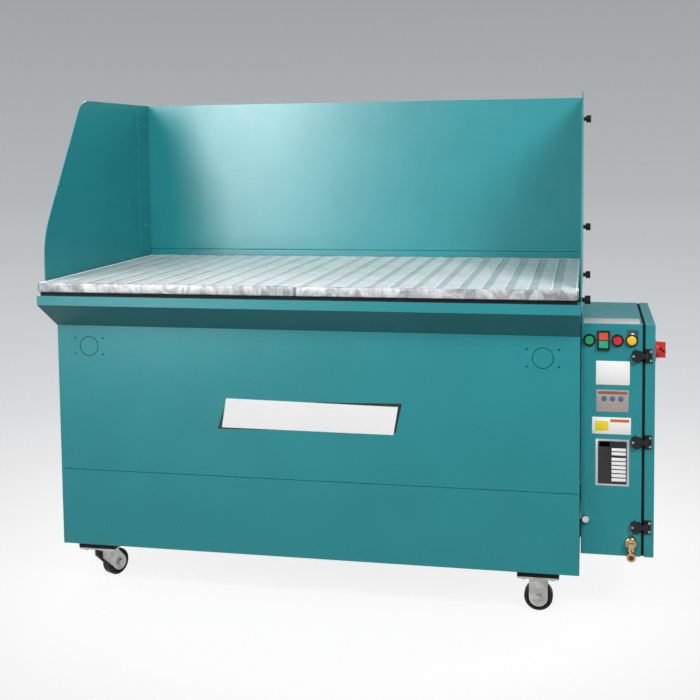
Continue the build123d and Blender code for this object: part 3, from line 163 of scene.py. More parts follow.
class Graph:
    """The node tree of one material or world."""

    def __init__(self, tree: bpy.types.NodeTree) -> None:
        """Takes over a tree and empties it."""
        self.tree = tree
        tree.nodes.clear()

    def add(
        self,
        kind: str,
        settings: dict[str, object] | None = None,
        inputs: dict[str | int, object] | None = None,
        output: str | int = 0,
    ) -> Signal | None:
        """Adds a node, sets it up, and feeds its sockets.

        Args:
            kind: The node's type.
            settings: Its own settings, set first; "stops" holds a ramp's places and colours.
            inputs: Values or signals for its sockets, by name or by number.
            output: The socket that the signal reads.

        Returns:
            The signal of the output socket, or None for a node that has none.
        """
        node = self.tree.nodes.new(kind)
        for key, value in (settings or {}).items():
            if key == "stops":
                self._stops(node.color_ramp, value)
            else:
                setattr(node, key, value)
        for key, value in (inputs or {}).items():
            socket = node.inputs[key]
            if isinstance(value, Signal):
                self.tree.links.new(value.socket, socket)
            elif isinstance(value, tuple) and socket.type == "RGBA":
                socket.default_value = (*value[:3], 1.0)
            else:
                socket.default_value = value
        return Signal(self, node.outputs[output]) if len(node.outputs) else None

    @staticmethod
    def _stops(ramp: bpy.types.ColorRamp, stops: list[tuple[float, Colour]]) -> None:
        """Writes a ramp's stops from its first to its last."""
        while len(ramp.elements) > 1:
            ramp.elements.remove(ramp.elements[-1])
        ramp.elements[0].position = stops[0][0]
        ramp.elements[0].color = (*stops[0][1], 1.0)
        for place, colour in stops[1:]:
            ramp.elements.new(place).color = (*colour, 1.0)

    def maths(self, operation: str, first: Signal | float, second: Signal | float = 0.0) -> Signal:
        """One Math node."""
        return self.add("ShaderNodeMath", {"operation": operation}, {0: first, 1: second})

    def blend(self, factor: Signal | float, first: Signal | Colour, second: Signal | Colour) -> Signal:
        """A colour between two colours."""
        inputs = {0: factor, 6: first, 7: second}
        return self.add("ShaderNodeMix", {"data_type": "RGBA"}, inputs, 2)

    def place(self, stretch: Place = (1.0, 1.0, 1.0)) -> Signal:
        """Object coordinates, stretched along the axes."""
        spot = self.add("ShaderNodeTexCoord", output="Object")
        return self.add("ShaderNodeMapping", inputs={"Vector": spot, "Scale": stretch})

    def plan(self) -> tuple[Signal, Signal]:
        """The object coordinates across and along, as numbers."""
        spot = self.add("ShaderNodeTexCoord", output="Object")
        across = self.add("ShaderNodeSeparateXYZ", inputs={0: spot}, output="X")
        return across, across.beside("Y")

    def noise(
        self,
        spot: Signal,
        scale: float,
        detail: float = 3.0,
        rough: float = 0.5,
        bend: float = 0.0,
    ) -> Signal:
        """Noise from 0 to 1.

        Args:
            spot: The coordinates.
            scale: The number of waves per metre.
            detail: How many finer layers it has.
            rough: How strong the finer layers are.
            bend: How far the pattern is pulled about.

        Returns:
            The noise's value.
        """
        inputs = {"Vector": spot, "Scale": scale, "Detail": detail, "Roughness": rough, "Distortion": bend}
        return self.add("ShaderNodeTexNoise", inputs=inputs)

    def levels(self, value: Signal, source: Pair, target: Pair = (0.0, 1.0)) -> Signal:
        """Maps one range onto another and stops at its ends."""
        inputs = {0: value, 1: source[0], 2: source[1], 3: target[0], 4: target[1]}
        return self.add("ShaderNodeMapRange", {"clamp": True}, inputs)


@dataclass(frozen=True)
class Finish:
    """A finish with a slow change of colour, a fine grain and an uneven gloss.

    Its colours are levels as a screen shows them, patch and grain are waves per metre, and depth is
    the height of the grain. On a broad face both ends of the roughness lie on the same side of 0.274,
    because a gloss that crosses it comes out spotted there.
    """

    name: str
    colour: Colour
    shade: Colour
    roughness: Pair
    metallic: float = 0.0
    patch: float = 6.0
    grain: float = 900.0
    depth: float = 0.00002
    coat: float = 0.0
    mirror: float = 0.5

    def tint(self, graph: Graph, spot: Signal) -> Signal:
        """The colour over the surface."""
        mask = graph.levels(graph.noise(spot, self.patch), PATCH_EDGES)
        return graph.blend(mask, screen(*self.colour), screen(*self.shade))

    def gloss(self, graph: Graph, spot: Signal) -> Signal:
        """The roughness over the surface."""
        return graph.levels(graph.noise(spot, self.patch * GLOSS_SCALE), GLOSS_EDGES, self.roughness)

    def relief(self, graph: Graph, spot: Signal) -> Signal:
        """The height of the grain."""
        return graph.noise(spot, self.grain, GRAIN_DETAIL)

    def make(self) -> bpy.types.Material:
        """Builds the material.

        Returns:
            The finished material.
        """
        material = bpy.data.materials.new(self.name)
        material.use_nodes = True
        graph = Graph(material.node_tree)
        spot = graph.place()
        height = {"Height": self.relief(graph, spot), "Distance": self.depth, "Strength": 1.0}
        surface = {
            "Base Color": self.tint(graph, spot),
            "Roughness": self.gloss(graph, spot),
            "Metallic": self.metallic,
            "Coat Weight": self.coat,
            "Specular IOR Level": self.mirror,
            "Normal": graph.add("ShaderNodeBump", inputs=height),
        }
        shader = graph.add("ShaderNodeBsdfPrincipled", inputs=surface)
        graph.add("ShaderNodeOutputMaterial", inputs={"Surface": shader})
        return material


@dataclass(frozen=True)
class Galvanised(Finish):
    """Hot dipped zinc: flat crystals of many sizes under a cloudy bloom."""

    crystal: float = 60.0

    def tint(self, graph: Graph, spot: Signal) -> Signal:
        """Crystals and bloom, from the finish's shade to its colour."""
        inputs = {"Vector": spot, "Scale": self.crystal}
        cells = graph.add("ShaderNodeTexVoronoi", {"feature": "F1"}, inputs, "Color")
        bloom = graph.noise(spot, self.patch, CLOUD_DETAIL, CLOUD_ROUGHNESS)
        mask = graph.levels(bloom * BLOOM_SHARE + cells * (1 - BLOOM_SHARE), BLOOM_EDGES)
        return graph.blend(mask, screen(*self.shade), screen(*self.colour))


@dataclass(frozen=True)
class Smeared(Galvanised):
    """Zinc that ran and was wiped while hot: pale, with grey smears and fine streaks down the face."""

    def tint(self, graph: Graph, spot: Signal) -> Signal:
        """Smears and streaks, from the finish's colour to its shade."""
        smears = graph.noise(spot, self.patch, CLOUD_DETAIL, CLOUD_ROUGHNESS, SMEAR_BEND)
        streaks = graph.noise(graph.place(STREAK_STRETCH), self.crystal * STREAK_SCALE)
        mask = graph.levels(smears * SMEAR_SHARE + streaks * (1 - SMEAR_SHARE), SMEAR_EDGES)
        return graph.blend(mask, screen(*self.colour), screen(*self.shade))


@dataclass(frozen=True)
class Perforated(Galvanised):
    """Galvanised sheet with rows of small round holes, whose radius is a share of their pitch."""

    patch: float = 9.0
    pitch: float = 0.0055
    radius_share: float = 0.3

    def holes(self, graph: Graph) -> Signal:
        """1 inside a hole and 0 on the sheet."""
        across, along = (graph.maths("FRACT", axis / self.pitch) - 0.5 for axis in graph.plan())
        return (across * across + along * along) < self.radius_share**2

    def tint(self, graph: Graph, spot: Signal) -> Signal:
        """The sheet's colour, with painted shade in its holes."""
        sheet = super().tint(graph, spot)
        # The holes take a painted shade.
        return graph.blend(self.holes(graph) * HOLE_SHADE_STRENGTH, sheet, screen(*HOLE_SHADE_COLOUR))

    def relief(self, graph: Graph, spot: Signal) -> Signal:
        """The holes as pits."""
        return 1.0 - self.holes(graph)


@dataclass(frozen=True)
class Cap(Finish):
    """Glossy moulded plastic under a thin clear coat."""

    roughness: Pair = (0.18, 0.26)
    patch: float = 60.0
    grain: float = 1400.0
    coat: float = 0.4


@dataclass(frozen=True)
class Ink(Finish):
    """A plain printed field."""

    roughness: Pair = (0.28, 0.36)
    patch: float = 14.0
    grain: float = 700.0


TEAL = Finish("teal_powder_coat", (40, 138, 144), (38, 134, 140), (0.32, 0.38), mirror=0.35)
TEAL_BROAD = Finish("teal_powder_coat_guard", (40, 138, 144), (38, 134, 140), (0.28, 0.32))
GALVANISED = Smeared(
    "galvanised_edge", (208, 210, 212), (134, 138, 141), (0.35, 0.55), metallic=0.15, patch=26.0
)
PLANK_LIGHT = Perforated("grate_plank_light", (242, 245, 245), (222, 228, 228), (0.4, 0.55), metallic=0.1)
# A darker copy of the plank finish, which paints the shade on the left slope of each ridge.
PLANK_PAINTED_SHADE = Perforated("grate_plank_painted_shade", (212, 219, 220), (188, 197, 198), (0.34, 0.46), metallic=0.15)
# A near-white zinc for the grate's beads and side rails, which paints a highlight on them.
BEAD_HIGHLIGHT = Galvanised("grate_bead_painted_highlight", (252, 253, 253), (236, 240, 240), (0.28, 0.4), metallic=0.1, patch=30.0)
SHEET_ZINC = Galvanised(
    "galvanised_sheet", (175, 180, 183), (140, 146, 150), (0.35, 0.5), metallic=0.7, patch=14.0
)
ZINC = Finish(
    "zinc_plate", (190, 190, 186), (158, 158, 154), (0.28, 0.42), metallic=0.9, patch=40.0, grain=1500.0
)
BRIGHT = Finish(
    "bright_steel", (214, 214, 216), (186, 186, 190), (0.14, 0.25), metallic=1.0, patch=60.0, grain=2500.0
)
BRASS = Finish(
    "machined_brass", (205, 172, 132), (176, 140, 100), (0.18, 0.26), metallic=1.0, patch=50.0, grain=2200.0
)
CAST = Finish(
    "cast_aluminium",
    (168, 170, 172),
    (146, 148, 150),
    (0.4, 0.55),
    metallic=0.9,
    patch=60.0,
    grain=1400.0,
    depth=0.00005,
)
BLACK = Finish(
    "black_plastic", (12, 12, 14), (18, 18, 20), (0.38, 0.5), patch=30.0, grain=1600.0, mirror=0.35
)
RUBBER = Finish(
    "black_rubber", (7, 7, 8), (13, 13, 14), (0.6, 0.8), patch=30.0, grain=1200.0, depth=0.00004, mirror=0.2
)
TYRE = Finish(
    "tyre_rubber",
    (10, 10, 11),
    (18, 18, 19),
    (0.45, 0.65),
    patch=45.0,
    grain=1200.0,
    depth=0.00005,
    mirror=0.3,
)
SLIDE = Finish("slide_plastic", (212, 212, 206), (200, 200, 194), (0.4, 0.5), patch=30.0, grain=1200.0)
PAPER = Finish(
    "filter_media", (206, 200, 178), (190, 184, 162), (0.7, 0.9), patch=40.0, grain=700.0, depth=0.0001
)
ENAMEL = Finish("grey_enamel", (88, 94, 102), (78, 84, 92), (0.3, 0.42), patch=20.0, grain=1000.0)
GEAR = Finish("switchgear_plastic", (150, 152, 152), (136, 138, 138), (0.35, 0.45), patch=25.0, grain=1300.0)
SWITCH_RED = Finish("switch_red", (222, 46, 44), (208, 40, 38), (0.28, 0.36), patch=40.0, grain=1400.0)
GREEN_CAP = Cap("green_cap", (6, 158, 92), (5, 146, 84))
START_CAP = Cap("start_cap", (24, 178, 128), (20, 166, 118))
RED_CAP = Cap("red_cap", (224, 26, 38), (208, 22, 32))
ORANGE_CAP = Cap("orange_red_cap", (238, 84, 52), (226, 74, 46), (0.2, 0.3))
LENS = Cap("yellow_lens", (255, 200, 34), (252, 182, 22), (0.1, 0.18), grain=900.0, coat=0.6)
SIGN_WHITE = Finish(
    "sign_white", (243, 243, 242), (239, 239, 238), (0.28, 0.34), patch=4.0, grain=300.0, depth=0.000003
)
SIGN_BLACK = Ink("sign_black", (20, 20, 21), (26, 26, 27), patch=8.0, grain=600.0)
STRIP_PINK = Ink("plate_pale_strip", (204, 196, 194), (194, 186, 184), (0.3, 0.4), patch=12.0)
PLATE_TAN = Ink("plate_tan", (178, 166, 160), (166, 156, 150), (0.3, 0.42), metallic=0.1)
PLATE_BROWN = Ink("plate_brown_band", (160, 92, 66), (146, 84, 60), (0.3, 0.42))
PLATE_BLUE = Ink("plate_blue_disc", (84, 108, 146), (76, 100, 138), (0.3, 0.4))
PLATE_YELLOW = Ink("plate_yellow_field", (238, 214, 44), (230, 202, 36))
PLATE_ORANGE = Ink("plate_orange_field", (226, 104, 54), (214, 94, 48))
PLATE_SILVER = Ink("plate_silver", (206, 208, 210), (188, 190, 193), metallic=0.6, patch=20.0, grain=1800.0)
PLATE_BLACK = Ink("plate_black_field", (22, 22, 24), (28, 28, 30))
# Dark teal that paints the shade in the knockout grooves.
KNOCKOUT_SHADE = Ink("knockout_painted_shade", (9, 46, 48), (8, 40, 42), (0.5, 0.6), mirror=0.1)
LEGEND = Ink("legend_blue_grey", (56, 78, 84), (50, 72, 78), (0.28, 0.38), patch=20.0, grain=900.0)

NODE_FINISHES: dict[Finish, tuple[str, ...]] = {
    TEAL: (
        "left_side_panel",
        "right_side_panel",
        "rear_panel",
        "base_pan",
        "upper_front_panel",
        "lower_front_panel",
        "apron_tray",
        "enclosure_box",
        "enclosure_door",
        "exhaust_grille",
        "wing_left",
        "wing_right",
    ),
    TEAL_BROAD: ("back_panel",),
    SHEET_ZINC: ("grate_support_rails", "dust_drawer_tray", "tube_sheet", "spark_baffle", "fan_section"),
    ZINC: (
        "wing_studs",
        "swivel_caster_plates",
        "rigid_caster_brackets",
        "caster_fork_front_left",
        "caster_fork_rear_left",
        "caster_bolts",
        "door_hinge_fixed",
        "door_hinge_leaves",
        "enclosure_gland_plate",
    ),
    RUBBER: ("grate_seal", "door_gasket", "caster_pads"),
    TYRE: tuple(f"caster_wheel_{end}_{side}" for end in ("front", "rear") for side in ("left", "right")),
    BLACK: (
        "wing_thumb_knobs",
        "latch_bases",
        "latch_arm_1",
        "latch_arm_2",
        "latch_arm_3",
        "latch_keepers",
        "button_bodies",
    ),
    STRIP_PINK: ("label_plates",),
    GREEN_CAP: ("green_button",),
    START_CAP: ("start_button",),
    RED_CAP: ("red_button",),
    ORANGE_CAP: ("stop_button",),
    LENS: ("yellow_lamp",),
    SWITCH_RED: ("disconnect_plate", "disconnect_handle"),
    BRASS: ("air_inlet_fitting",),
    BRIGHT: ("side_knob",),
    SLIDE: ("drawer_runners",),
    PAPER: ("filter_cartridges",),
    ENAMEL: ("fan_motor",),
    CAST: ("fan_impeller", "air_tank_and_valves"),
    GEAR: ("control_gear",),
}


@dataclass
class Palette:
    """Makes each finish once and hands it out."""

    made: dict[str, bpy.types.Material] = field(default_factory=dict)

    def get(self, finish: Finish) -> bpy.types.Material:
        """The material of a finish, made at its first use."""
        if finish.name not in self.made:
            self.made[finish.name] = finish.make()
        return self.made[finish.name]

    def dress(self, nodes: dict[str, bpy.types.Object]) -> None:
        """Gives the frame's nodes their finishes.

        Args:
            nodes: The frame's nodes by name.
        """
        for finish, names in NODE_FINISHES.items():
            for name in names:
                for slot in nodes[name].material_slots:
                    slot.material = self.get(finish)
                log.info("%s takes %s", name, finish.name)


class Sides(Enum):
    """How many sides a bar has, by what it is."""

    ROUND = 40
    HEAD = 24
    SOCKET = 6


class Form:
    """One piece under construction."""

    def __init__(self, name: str, palette: Palette, *finishes: Finish) -> None:
        """Starts an empty piece.

        Args:
            name: The piece's name.
            palette: Where its materials come from.
            finishes: The finishes that its faces can take.
        """
        self.name = name
        self.palette = palette
        self.finishes = finishes
        self.mesh = bmesh.new()

    def paint(self, faces: Iterable[bmesh.types.BMFace], finish: Finish) -> None:
        """Gives faces one of the piece's finishes."""
        number = self.finishes.index(finish)
        for face in faces:
            face.material_index = number

    def brick(
        self,
        low: Vector,
        high: Vector,
        finish: Finish,
        bevel: float = 0.0,
        steps: int = 2,
    ) -> list[bmesh.types.BMVert]:
        """A box between two corners, with its edges rounded.

        Args:
            low: The lowest corner.
            high: The highest corner.
            finish: Its finish.
            bevel: How far the edges are rounded.
            steps: How many steps go round an edge.

        Returns:
            The box's points, before rounding.
        """
        verts = bmesh.ops.create_cube(self.mesh, size=1.0)["verts"]
        bmesh.ops.scale(self.mesh, vec=high - low, verts=verts)
        bmesh.ops.translate(self.mesh, vec=(low + high) / 2, verts=verts)
        self._end(verts, finish, bevel, steps)
        return verts

    def disc(
        self,
        centre: Vector,
        along: Vector,
        radius: float,
        length: float,
        finish: Finish,
        bevel: float = 0.0,
        sides: Sides = Sides.ROUND,
    ) -> None:
        """A round or many-sided bar that starts at a point and runs along a direction.

        Args:
            centre: The middle of its first end.
            along: The direction that it runs in.
            radius: Its radius.
            length: Its length.
            finish: Its finish.
            bevel: How far its edges are rounded.
            sides: How many sides it has.
        """
        turn = along.normalized().to_track_quat("Z", "Y").to_matrix().to_4x4()
        matrix = Matrix.Translation(centre + along.normalized() * length / 2) @ turn
        verts = bmesh.ops.create_cone(
            self.mesh,
            cap_ends=True,
            segments=sides.value,
            radius1=radius,
            radius2=radius,
            depth=length,
            matrix=matrix,
        )["verts"]
        self._end(verts, finish, bevel)

    def ring(
        self,
        centre: Vector,
        along: Vector,
        radius: float,
        width: float,
        height: float,
        finish: Finish,
    ) -> None:
        """A flat ring round a point.

        Args:
            centre: The middle of its foot.
            along: The direction that it faces.
            radius: The radius of its middle line.
            width: How wide it is.
            height: How thick it is.
            finish: Its finish.
        """
        before = set(self.mesh.faces)
        across = along.orthogonal().normalized()
        inner, outer = across * (radius - width / 2), across * (radius + width / 2)
        corners = (inner, outer, outer + along * height, inner + along * height)
        verts = [self.mesh.verts.new(centre + corner) for corner in corners]
        edges = [self.mesh.edges.new((verts[i - 1], verts[i])) for i in range(len(verts))]
        bmesh.ops.spin(
            self.mesh,
            geom=[*verts, *edges],
            cent=centre,
            axis=along,
            angle=2 * math.pi,
            steps=RING_STEPS,
            use_merge=True,
        )
        faces = [face for face in self.mesh.faces if face not in before]
        bmesh.ops.recalc_face_normals(self.mesh, faces=faces)
        self.paint(faces, finish)

    def prism(self, outline: list[Vector], along: Vector, finish: Finish) -> None:
        """A flat outline drawn out along a vector.

        Args:
            outline: The corners of its first end, in order.
            along: The way from its first end to its last.
            finish: Its finish.
        """
        verts = [self.mesh.verts.new(corner) for corner in outline]
        face = self.mesh.faces.new(verts)
        made = bmesh.ops.extrude_face_region(self.mesh, geom=[face])["geom"]
        ends = [item for item in made if isinstance(item, bmesh.types.BMVert)]
        bmesh.ops.translate(self.mesh, vec=along, verts=ends)
        faces = list({face for vert in verts + ends for face in vert.link_faces})
        bmesh.ops.recalc_face_normals(self.mesh, faces=faces)
        self.paint(faces, finish)

    def _end(self, verts: list[bmesh.types.BMVert], finish: Finish, bevel: float, steps: int = 2) -> None:
        """Gives a form its finish and rounds its sharp edges."""
        self.paint({face for vert in verts for face in vert.link_faces}, finish)
        if bevel:
            edges = {edge for vert in verts for edge in vert.link_edges}
            bmesh.ops.bevel(
                self.mesh,
                geom=[edge for edge in edges if edge.calc_face_angle(0.0) > ROUND_OVER],
                offset=bevel,
                segments=steps,
                profile=0.5,
                affect="EDGES",
                material=-1,
                clamp_overlap=True,
            )

    def done(self, body: str, slot: str, *nodes: str) -> None:
        """Turns the form into an object that rides on a body.

        Args:
            body: The body that carries it.
            slot: The record's material slot, which is not used.
            nodes: The frame nodes that it stands for.
        """
        data = bpy.data.meshes.new(self.name)
        self.mesh.normal_update()
        self.mesh.to_mesh(data)
        self.mesh.free()
        for finish in self.finishes:
            data.materials.append(self.palette.get(finish))
        data.shade_smooth()
        data.set_sharp_from_angle(angle=SMOOTH_UNDER)
        piece = bpy.data.objects.new(self.name, data)
        bpy.context.collection.objects.link(piece)
        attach(piece, body)
        if nodes:
            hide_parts(*nodes)
        log.info("%s rides on %s", self.name, body)


@dataclass
class Grate:
    """One lift-out grate: a rolled band round ridged, perforated planks with a bead at each joint. The
    ridges' left slopes take painted shade, and the beads and side rails a painted highlight.
    """

    node: str
    body: str
    planks: int = 12
    band: float = 0.008
    roll: float = 0.0042
    roll_steps: int = 4
    ridge: float = 0.0032
    ridge_share: float = 0.4
    plate: float = 0.0025
    bead_width: float = 0.0036
    bead_height: float = 0.0022

    def build(self, palette: Palette) -> None:
        """Models the band, the planks and the beads in the place of the frame's grate."""
        low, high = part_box(self.node)
        form = Form(f"{self.node}_planks", palette, PLANK_LIGHT, PLANK_PAINTED_SHADE, GALVANISED, BEAD_HIGHLIGHT)
        self._band(form, low, high)
        pitch = (high.x - low.x - 2 * self.band) / self.planks
        deck = high.z - self.ridge
        front, back = low.y + self.band, high.y - self.band
        for index in range(self.planks):
            left = low.x + self.band + index * pitch
            corner = Vector((left, front, deck - self.plate))
            verts = form.brick(corner, Vector((left + pitch, back, deck)), PLANK_LIGHT)
            self._raise_ridge(form, verts, left + pitch * self.ridge_share)
            if index:
                half = self.bead_width / 2
                foot = Vector((left - half, front, deck - self.plate / 2))
                form.brick(foot, Vector((left + half, back, deck + self.bead_height)), BEAD_HIGHLIGHT, half / 2)
        form.done(self.body, "galvanised_grate", self.node)

    def _band(self, form: Form, low: Vector, high: Vector) -> None:
        """The rolled band: a rail on the left and right in a near-white finish that paints a highlight, and
        a smeared one in front and behind.
        """
        for axis, finish in enumerate((BEAD_HIGHLIGHT, GALVANISED)):
            first_end, last_start = high.copy(), low.copy()
            first_end[axis] = low[axis] + self.band
            last_start[axis] = high[axis] - self.band
            form.brick(low, first_end, finish, self.roll, self.roll_steps)
            form.brick(last_start, high, finish, self.roll, self.roll_steps)

    def _raise_ridge(self, form: Form, verts: list[bmesh.types.BMVert], crest: float) -> None:
        """Cuts a plank lengthways, lifts the cut and gives the slope on its left a painted shade."""
        faces = {face for vert in verts for face in vert.link_faces}
        edges = {edge for vert in verts for edge in vert.link_edges}
        cut = bmesh.ops.bisect_plane(
            form.mesh,
            geom=[*verts, *edges, *faces],
            plane_co=Vector((crest, 0.0, 0.0)),
            plane_no=Vector((1.0, 0.0, 0.0)),
        )
        line = [item for item in cut["geom_cut"] if isinstance(item, bmesh.types.BMVert)]
        slopes = [item for item in cut["geom"] if isinstance(item, bmesh.types.BMFace)]
        # The left slope takes the darker plank finish as painted shade.
        form.paint([face for face in slopes if face.calc_center_median().x < crest], PLANK_PAINTED_SHADE)
        bmesh.ops.translate(form.mesh, vec=Vector((0.0, 0.0, self.ridge)), verts=line)


@dataclass(frozen=True)
class Print:
    """A plain field on a plate: its left, foot, right and top in shares of the plate, and its layer."""

    finish: Finish
    left: float
    foot: float
    right: float
    top: float
    layer: int = 1


def meter_cells(
    count: int = 8,
    raised: int = 2,
    left_share: float = 0.48,
    right_share: float = 0.9,
    foot_share: float = 0.1,
    pitch_share: float = 0.088,
    height_share: float = 0.066,
    raise_share: float = 0.03,
) -> tuple[Print, ...]:
    """The pale cells of the lowest plate, one over the other, with the last ones a little higher.

    Args:
        count: How many cells there are.
        raised: How many of them, from the top, sit higher.
        left_share: Their left edge, as a share of the plate's width.
        right_share: Their right edge.
        foot_share: Where the lowest one starts, as a share of the plate's height.
        pitch_share: The step from one to the next.
        height_share: The height of one.
        raise_share: How much higher the last ones sit.

    Returns:
        The cells, from the lowest to the highest.
    """
    cells = []
    for index in range(count):
        foot = foot_share + index * pitch_share + (raise_share if index >= count - raised else 0.0)
        cells.append(Print(SIGN_WHITE, left_share, foot, right_share, foot + height_share, layer=2))
    return tuple(cells)


@dataclass(frozen=True)
class Plate:
    """A plate on the enclosure's face: its left edge, its width, its drop from the top and its height.

    The places of its discs are shares of its width and height.
    """

    finish: Finish
    left: float
    width: float
    drop: float
    height: float
    prints: tuple[Print, ...] = ()
    disc_shares: tuple[Pair, ...] = ()

    def spot(self, across: float, up: float, out: float) -> Vector:
        """The point at shares of its width and height, a distance in front of the enclosure."""
        return Vector((self.left + across * self.width, -out, up * self.height - self.drop - self.height))


PLATES = (
    Plate(
        LEGEND,
        left=0.12,
        width=0.031,
        drop=0.015,
        height=0.024,
        prints=(Print(SIGN_WHITE, 0.38, 0.4, 0.62, 0.6),),
    ),
    Plate(SIGN_WHITE, left=0.039, width=0.09, drop=0.102, height=0.066),
    Plate(
        PLATE_TAN,
        left=0.0405,
        width=0.086,
        drop=0.182,
        height=0.061,
        prints=(Print(PLATE_BROWN, 0.04, 0.81, 0.96, 0.94),),
        disc_shares=((0.24, 0.6), (0.5, 0.6), (0.76, 0.6)),
    ),
    Plate(
        SIGN_WHITE,
        left=0.029,
        width=0.104,
        drop=0.258,
        height=0.047,
        prints=(
            Print(PLATE_YELLOW, 0.08, 0.2, 0.42, 0.78),
            Print(PLATE_ORANGE, 0.47, 0.72, 0.96, 0.9),
        ),
    ),
    Plate(
        PLATE_SILVER,
        left=0.039,
        width=0.09,
        drop=0.319,
        height=0.13,
        prints=(
            Print(PLATE_BLACK, 0.07, 0.04, 0.93, 0.96),
            Print(PLATE_SILVER, 0.11, 0.84, 0.42, 0.94),
            *meter_cells(),
        ),
    ),
)
LABEL_FINISHES = (
    SIGN_WHITE,
    STRIP_PINK,
    LEGEND,
    PLATE_TAN,
    PLATE_BROWN,
    PLATE_BLUE,
    PLATE_YELLOW,
    PLATE_ORANGE,
    PLATE_SILVER,
    PLATE_BLACK,
)


@dataclass
class LabelPlates:
    """The plates on the enclosure's face, with plain fields and discs, and the pale strip on its top."""

    thick: float = 0.0008
    edge: float = 0.0003
    print_height: float = 0.0002
    disc_radius: float = 0.0075
    strip_inset: float = 0.006
    strip_width: float = 0.15
    strip_depth: float = 0.092

    def build(self, palette: Palette) -> None:
        """Models every plate in the place of the frame's plates."""
        low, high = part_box("label_plates")
        corner = Vector((low.x - self.strip_inset, low.y + self.thick, high.z - self.thick))
        form = Form("label_plates_blank", palette, *LABEL_FINISHES)
        near = corner + Vector((self.strip_inset, self.strip_inset, 0.0))
        far = near + Vector((self.strip_width, self.strip_depth, self.thick))
        form.brick(near, far, STRIP_PINK, self.edge)
        for plate in PLATES:
            self._plate(form, corner, plate)
        form.done("cabinet", "white_label", "label_plates")

    def _plate(self, form: Form, corner: Vector, plate: Plate) -> None:
        """One plate, flat on the enclosure, with its fields and discs."""
        near, far = plate.spot(0.0, 0.0, self.thick), plate.spot(1.0, 1.0, 0.0)
        form.brick(corner + near, corner + far, plate.finish, self.edge)
        bevel = self.print_height / 3
        for area in plate.prints:
            near = plate.spot(area.left, area.foot, self.thick + self.print_height * area.layer)
            far = plate.spot(area.right, area.top, self.thick / 2)
            form.brick(corner + near, corner + far, area.finish, bevel)
        length = self.thick / 2 + self.print_height
        for across, up in plate.disc_shares:
            centre = corner + plate.spot(across, up, self.thick / 2)
            form.disc(centre, FORWARDS, self.disc_radius, length, PLATE_BLUE, bevel)


@dataclass
class Sign:
    """The slanted front sign: a blank white plate over a black one that is turned a little against it."""

    thick: float = 0.0008
    slant: float = 0.014
    rise: float = 0.005
    margin_left: float = 0.013
    margin_right: float = 0.011

    def build(self, palette: Palette) -> None:
        """Models both plates in the place of the frame's sign."""
        low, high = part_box("front_sign")
        left, right = low.x + self.margin_left, high.x - self.margin_right - self.slant / 2
        foot, top = low.z + self.rise, high.z - self.rise
        white = [
            (left, foot),
            (right - self.slant / 2, foot - self.rise / 2),
            (right + self.slant / 2, top - self.rise),
            (left + self.slant, top + self.rise / 2),
        ]
        black = [
            (left - self.margin_left, foot - self.rise),
            (right, foot + self.rise),
            (right + self.slant / 2 + self.margin_right, top + self.rise),
            (left + self.slant, top - self.rise),
        ]
        form = Form("front_sign_plates", palette, SIGN_WHITE, SIGN_BLACK)
        for corners, thick, finish in ((black, self.thick / 2, SIGN_BLACK), (white, self.thick, SIGN_WHITE)):
            form.prism([Vector((x, high.y, z)) for x, z in corners], FORWARDS * thick, finish)
        form.done("cabinet", "white_sign", "front_sign")


@dataclass
class Screws:
    """Small bright screws on the latches, and painted rivets beside the front seam."""

    radius: float = 0.0034
    height: float = 0.0019
    socket: float = 0.0014
    socket_shade_proud: float = 0.00005
    latch_pitch: float = 0.024
    base_inset: float = 0.004
    base_sink: float = 0.003
    arm_inset: float = 0.0055
    arm_sink: float = 0.0021
    rivet_radius: float = 0.0042
    rivet_height: float = 0.0016
    rivet_inset: float = 0.026
    rivet_sink: float = 0.0002
    rivet_rise: float = 0.001

    def build(self, palette: Palette) -> None:
        """Models the screws and the rivets."""
        base_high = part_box("latch_bases")[1]
        bases = Form("latch_base_screws", palette, BRIGHT, BLACK)
        for number in (1, 2, 3):
            low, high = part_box(f"latch_arm_{number}")
            middle = (low.z + high.z) / 2
            for step in (-self.latch_pitch / 2, self.latch_pitch / 2):
                spot = Vector((base_high.x - self.base_inset, base_high.y - self.base_sink, middle + step))
                self._screw(bases, spot)
            arm = Form(f"latch_arm_{number}_screw", palette, BRIGHT, BLACK)
            self._screw(arm, Vector((low.x + self.arm_inset, low.y + self.arm_sink, middle)))
            arm.done(f"latch_arm_{number}", "bright_steel")
        bases.done("door", "bright_steel")
        low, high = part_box("upper_front_panel")
        rivets = Form("front_seam_rivets", palette, TEAL)
        height = self.rivet_height
        for across in (low.x + self.rivet_inset, high.x - self.rivet_inset):
            foot = Vector((across, low.y + self.rivet_sink, low.z + self.rivet_radius + self.rivet_rise))
            rivets.disc(foot, FORWARDS, self.rivet_radius, height, TEAL, height / 2, Sides.HEAD)
        rivets.done("cabinet", "teal_paint")

    def _screw(self, form: Form, spot: Vector) -> None:
        """One socket screw: a domed head, and a black six-sided disc on it that paints the shade in its
        socket.
        """
        form.disc(spot, FORWARDS, self.radius, self.height, BRIGHT, self.height / 3, Sides.HEAD)
        # A black hexagon just over the head paints the shade in the socket.
        foot = spot + FORWARDS * (self.height - self.socket / 2)
        length = self.socket / 2 + self.socket_shade_proud
        form.disc(foot, FORWARDS, self.socket, length, BLACK, sides=Sides.SOCKET)


